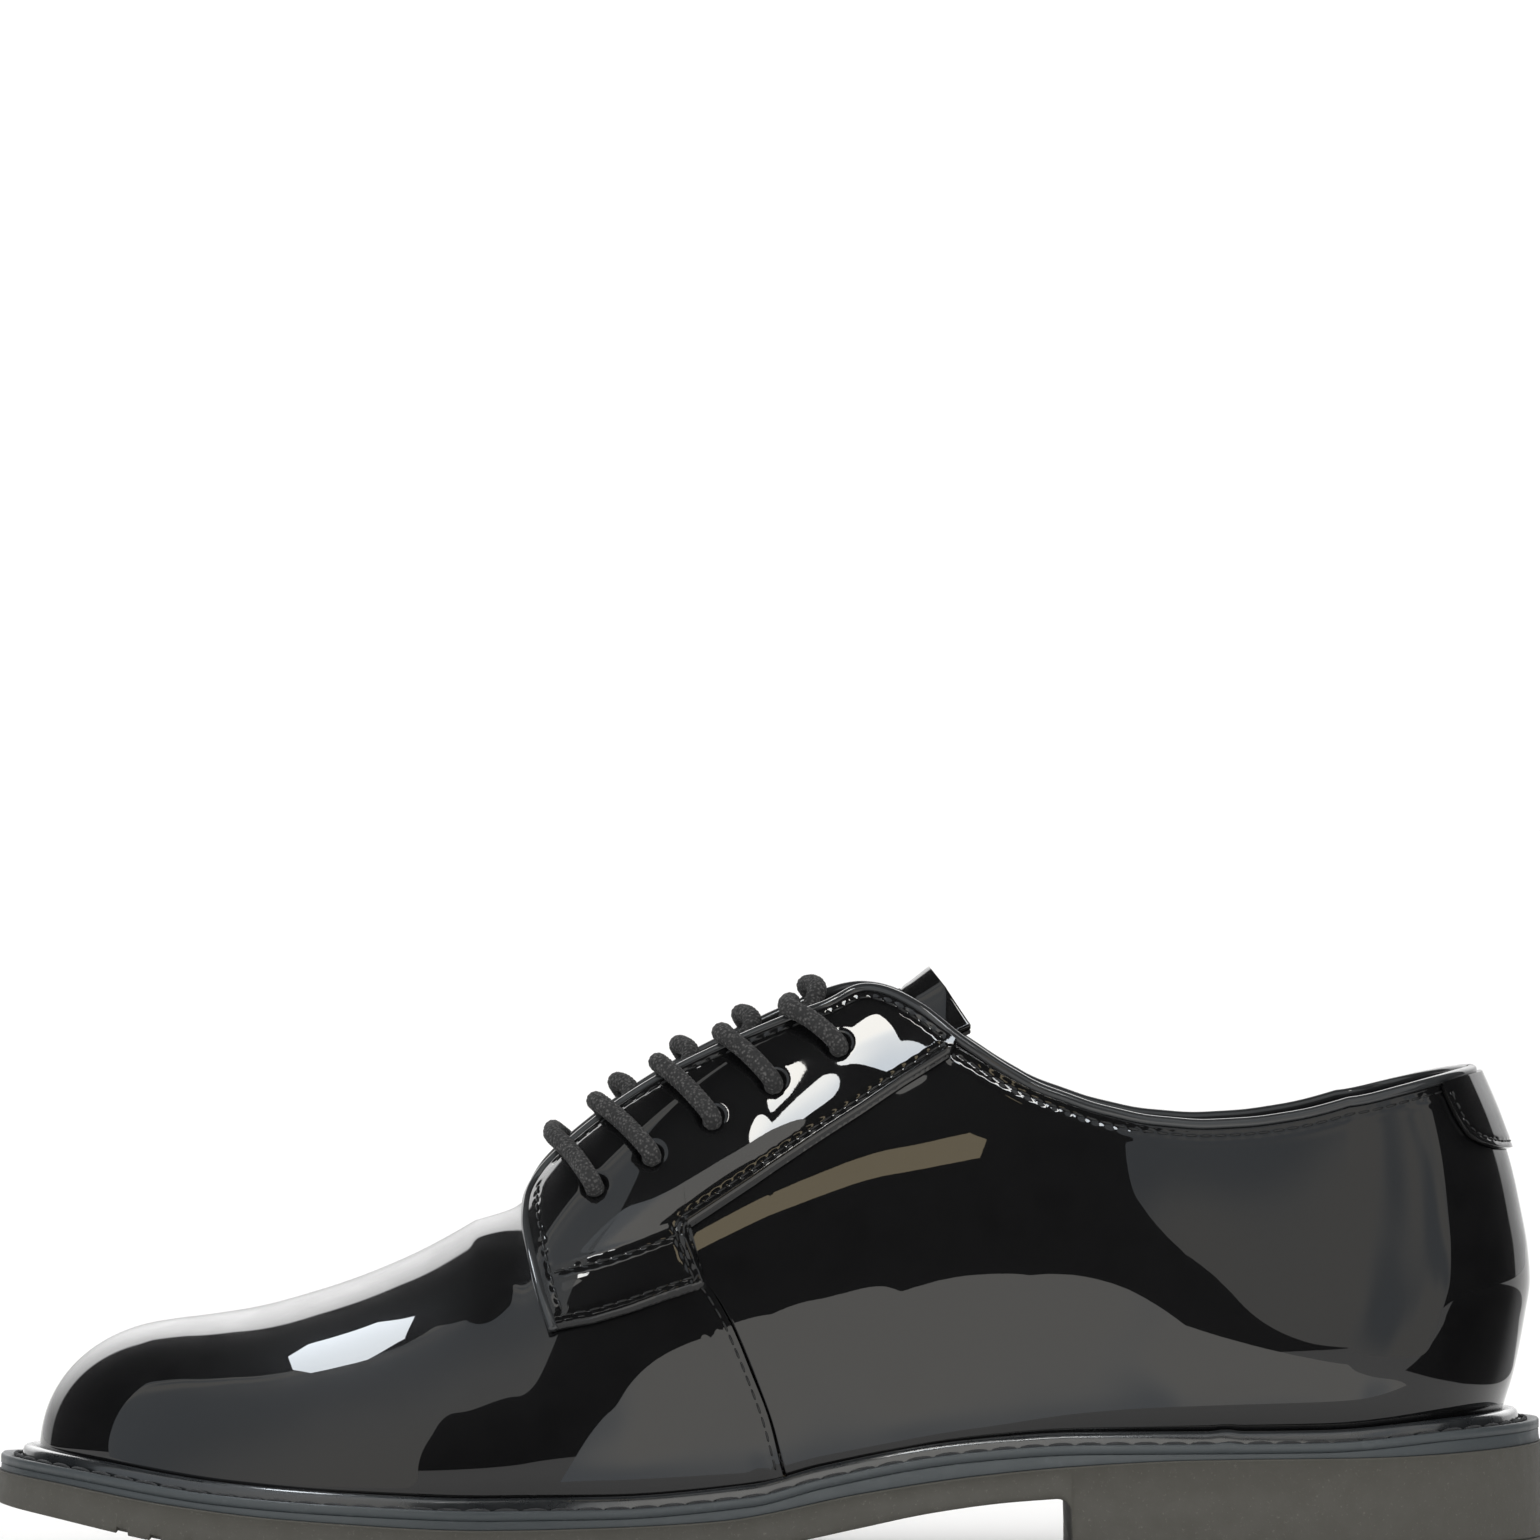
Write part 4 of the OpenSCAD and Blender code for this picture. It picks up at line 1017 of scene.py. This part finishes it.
def build_heel_lift():
    """The wear piece under the heel, with grooves across it."""
    z = lambda h, share: (lambda x: h + GROOVE_DEPTH * share * groove(x))
    levels = [(-1.2, 0, 1), (-0.8, 0.12, 0.92), (-0.55, 0.45, 0.66), (-0.5, 1.3, 0), (-0.5, 3.7, 0),
              (-0.7, 3.95, 0)]
    loops = []
    for e, h, share in levels:
        loop = outline(over(e), z(h, share))
        loops.append(loop[loop[:, 0] > HEEL_BREAST + 0.1])
    # Each loop starts at the breast on the inner side and ends at the breast on the outer side
    n = len(loops[0])
    faces = band_faces(len(loops), n)
    half = n // 2
    for at, flip in ((0, False), ((len(loops) - 1) * n, True)):
        for k in range(half - 1):
            quad = [at + k, at + k + 1, at + n - 2 - k, at + n - 1 - k]
            faces.append(quad[::-1] if flip else quad)
        if n % 2:
            faces.append([at + half - 1, at + half, at + half + 1])
    mesh = np.concatenate(loops), faces
    add_piece("heel_lift_body", mesh, OUTSOLE, "outsole_rubber", "heel_lift", bevel=0.2)


def build_midsole():
    low = lambda x: curve(PARTING_Z, x)
    high = lambda x: curve(WELT_Z, x) - WELT_H
    loops = [outline(lambda x, e=e: welt_out(x) + e, lambda x, t=t: low(x) + (high(x) - low(x)) * t)
             for e, t in ((0.1, 0), (0.2, 0.1), (0.05, 0.5), (0, 0.9), (-0.1, 1))]
    add_piece("midsole_body", slab_mesh(loops), MIDSOLE, "midsole_rubber", "midsole")


WELT_FLANGE = [[-5.9, -1.75], [8.1, -1.75], [8.1, -0.6], [8.05, -0.2], [7.9, 0.05], [7.6, 0.1], [6.2, -0.1],
               [5.3, -0.5], [4.6, -1.0], [3.8, -1.05], [3.0, -1.0], [-5.9, -0.9]]
WELT_BEAD = [[3.4, -1.0], [3.4, -0.6], [3.3, 0.4], [3.2, 1.2], [2.9, 1.85], [2.4, 2.25], [1.8, 2.4],
             [1.2, 2.25], [0.8, 1.8], [0.45, 0.9], [0.4, 0], [-5.9, -0.05], [-5.9, -0.8], [0, -0.9]]
WELT_EDGE = 8.0
GROOVE_E = 4.3
BUTT_X = 87.9


def welt_offset(e):
    """Offset of a point of the welt's section, which is drawn for the widest part of the welt."""
    if e > 7:
        return lambda x: welt_out(x) + e - WELT_EDGE
    if e > GROOVE_E:
        return lambda x: np.minimum(e, welt_out(x) - 0.5 + (e - 6.2) * 0.35)
    return lambda x: np.minimum(e, welt_out(x) - 0.5 + (GROOVE_E - 6.2) * 0.35 - (GROOVE_E - e) * 0.8)


def welt_loops(section):
    loops = []
    for e, h in section:
        loop = outline(welt_offset(e), lambda x, h=h: curve(WELT_Z, x) + h)
        # The two ends of the strip meet on the inner side, a little proud of the rest
        off = loop[:, 0] - BUTT_X
        butt = np.exp(-(off / 1.8) ** 2) - 0.8 * np.exp(-(off / 0.35) ** 2)
        loop[:, 2] += np.where(loop[:, 1] < 0, 0.4 * butt, 0) * (h > -1)
        loops.append(loop)
    return loops


def build_welt():
    for name, section, finish in (("flange", WELT_FLANGE, FLANGE_INK_AND_PAINTED_REFLECTION), ("bead", WELT_BEAD, WELT)):
        loops = welt_loops(section)
        n = len(loops[0])
        faces = band_faces(len(loops), n)
        last = (len(loops) - 1) * n
        faces += [[last + j, j, (j + 1) % n, last + (j + 1) % n] for j in range(n)]
        add_piece(f"storm_welt_{name}", (np.concatenate(loops), faces), finish, "welt_rubber", "storm_welt")


def build_welt_stitches():
    loop = outline(welt_offset(GROOVE_E + 0.3), lambda x: curve(WELT_Z, x) + 0.05)
    loop = np.concatenate([loop, loop[:1]])
    up = np.tile([0.0, 0.0, 1.0], (len(loop), 1))
    pieces = Pieces()
    add_stitches(pieces, loop, up, pitch=5.5, length=5.2, radius=0.5)
    add_piece("welt_lock_stitches", pieces.mesh(), LOCK_THREAD, "thread", "welt_thread")


def build_sock():
    loops = [outline(lambda x, e=e: e + 0 * x, lambda x, h=h: curve(WELT_Z, x) + 2.4 + curve(PAD_RISE, x) + h)
             for e, h in ((-5, 0), (-5, 0.9), (-5.3, 1.2))]
    add_piece("sock_liner_sheet", slab_mesh(loops), SOCK, "sock_leather", "sock_liner")


build_outsole()
build_heel_lift()
build_midsole()
build_welt()
build_welt_stitches()
build_sock()

add_piece("seam_stitches", stitches.mesh(), THREAD, "thread")

# ---- Stage ----

def build_stage():
    m, tree, shader = material("floor")
    fill(tree, shader, {"Base Color": (0.93, 0.925, 0.915, 1), "Roughness": 0.7})
    far = 30 / MM
    corners = [(-far, -far, 0), (far, -far, 0), (far, far, 0), (-far, far, 0)]
    make_object("floor", corners, [range(4)], m, False)


# Soft boxes that only the shiny surfaces see, upright beside the shoe: how far off they stand, the
# strength of their light, how fine its patches are, how often the corners are cut off, and the
# corners [X, Z]
CARDS = {
    "card_front": (100, 0.95, 2, 4, [[-650, -50], [-600, 260], [-1200, 1150], [-2600, 3000], [-1000, 3000],
                                     [-160, 420], [-60, 255], [-30, 105], [-45, 70], [-72, 75], [-72, -50]]),
    "card_waist": (100, 1.5, 14, 4, [[-20, -40], [0, 45], [10, 70], [30, 78], [55, 68], [95, 43], [120, 25],
                                     [190, 8], [230, -40]]),
    "card_heel": (100, 0.85, 14, 4, [[45, 220], [45, 105], [60, 88], [80, 78], [95, 52], [110, 40], [180, 30],
                                     [230, 22], [265, 60], [310, 140], [400, 220], [400, 300], [60, 300]]),
    "card_warm": (100, 2.2, 14, 0, [[8, 113], [26, 113], [26, 119], [22, 123], [8, 123]]),
    "card_edge": (100, 1.7, 14, 4, [[-55, 145], [-30, 135], [5, 146], [5, 160], [-20, 165], [-55, 200]]),
    "card_lamp": (600, 18, 2, 4, [[-190, 560], [-100, 590], [-85, 710], [-130, 830], [-310, 1200],
                                  [-230, 850]]),
    "card_spot": (600, 18, 2, 4, [[-20, 590], [20, 640], [-40, 750], [-100, 810], [-75, 690]]),
}
# Level boards [X, Y]: a small lamp over the vamp, and a dark one on the floor behind the heel, where
# the shiny surfaces would see a lit floor
LAMP_Z = 100
GOLD, COOL_WHITE, WARM_WHITE = (1.0, 0.84, 0.56), (0.86, 0.93, 1.0), (1.0, 0.98, 0.93)
LAMP_BOARD = [[-112, -46], [-86, -46], [-86, -15], [-112, -15]]
DARK_BOARD = [[235, -160], [29000, -12500], [29000, 9000], [250, 300], [225, -20]]


def add_board(name, corners, finish):
    """A flat board on the stage that only glossy rays meet."""
    board = make_object(name, corners, [range(len(corners))], finish, False)
    board.visible_camera = board.visible_diffuse = board.visible_shadow = False
    board.visible_transmission = board.visible_volume_scatter = False


def rounded_off(corners, times):
    """The outline with every corner cut off at a quarter of its sides, again and again."""
    edge = np.array(corners, dtype=float)
    for _ in range(times):
        after = np.roll(edge, -1, axis=0)
        edge = np.stack([0.75 * edge + 0.25 * after, 0.25 * edge + 0.75 * after], axis=1).reshape(-1, 2)
    return edge


def glowing(name, strength, patch_scale):
    """A material that glows a little unevenly, in two whites or in gold."""
    m, tree, _ = material(name)
    tree.nodes.clear()
    cool, warm = (GOLD, GOLD) if name == "card_warm" else (COOL_WHITE, WARM_WHITE)
    patches = ramp(tree, noise(tree, patch_scale, 1), 0.38, 0.62, 0, 1)
    uneven = ramp(tree, patches, 0, 1, strength * 0.85, strength * 1.15)
    glow = node(tree, "Emission", {"Color": mixed(tree, patches, cool, warm), "Strength": uneven})
    node(tree, "OutputMaterial", {"Surface": glow.outputs[0]})
    return m


def build_cards():
    for name, (distance, strength, patch_scale, times, corners) in CARDS.items():
        edge = [(x, -distance, z) for x, z in rounded_off(corners, times)]
        add_board(name, edge, glowing(name, strength, patch_scale))
    lamp = [(x, y, LAMP_Z) for x, y in rounded_off(LAMP_BOARD, 1)]
    add_board("card_top", lamp, glowing("card_top", 17, 2))
    m, tree, shader = material("dark_board")
    fill(tree, shader, {"Base Color": (0.01, 0.01, 0.01, 1)})
    add_board("dark_board", [(x, y, 1.5) for x, y in DARK_BOARD], m)


def build_world():
    """A plain white room; shiny surfaces see it dark instead, with one lit panel behind the shoe."""
    world = bpy.data.worlds.new("studio")
    bpy.context.scene.world = world
    world.use_nodes = True
    tree = world.node_tree
    tree.nodes.clear()
    where = node(tree, "TexCoord").outputs["Generated"]
    _, y, z = node(tree, "SeparateXYZ", {0: where}).outputs
    behind, low = ramp(tree, y, 0.6, 0.64, 0, 1), ramp(tree, z, 0.7, 0.72, 1, 0)
    glow = ramp(tree, z, 0.12, 0.62, 1.1, 4.6, smooth=False)
    panel = combined(tree, "MULTIPLY", behind, low, glow)
    dim = ramp(tree, z, -1, 1, 0.015, 0.03)
    plain = node(tree, "Background", {"Color": (1, 1, 1, 1), "Strength": 1.12})
    glossy = node(tree, "Background", {"Strength": combined(tree, "MAXIMUM", panel, dim)})
    is_glossy = node(tree, "LightPath").outputs["Is Glossy Ray"]
    mix = node(tree, "MixShader", {0: is_glossy, 1: plain.outputs[0], 2: glossy.outputs[0]})
    node(tree, "OutputWorld", {"Surface": mix.outputs[0]})


build_stage()
build_cards()
build_world()
bpy.context.scene.view_settings.view_transform = "Standard"
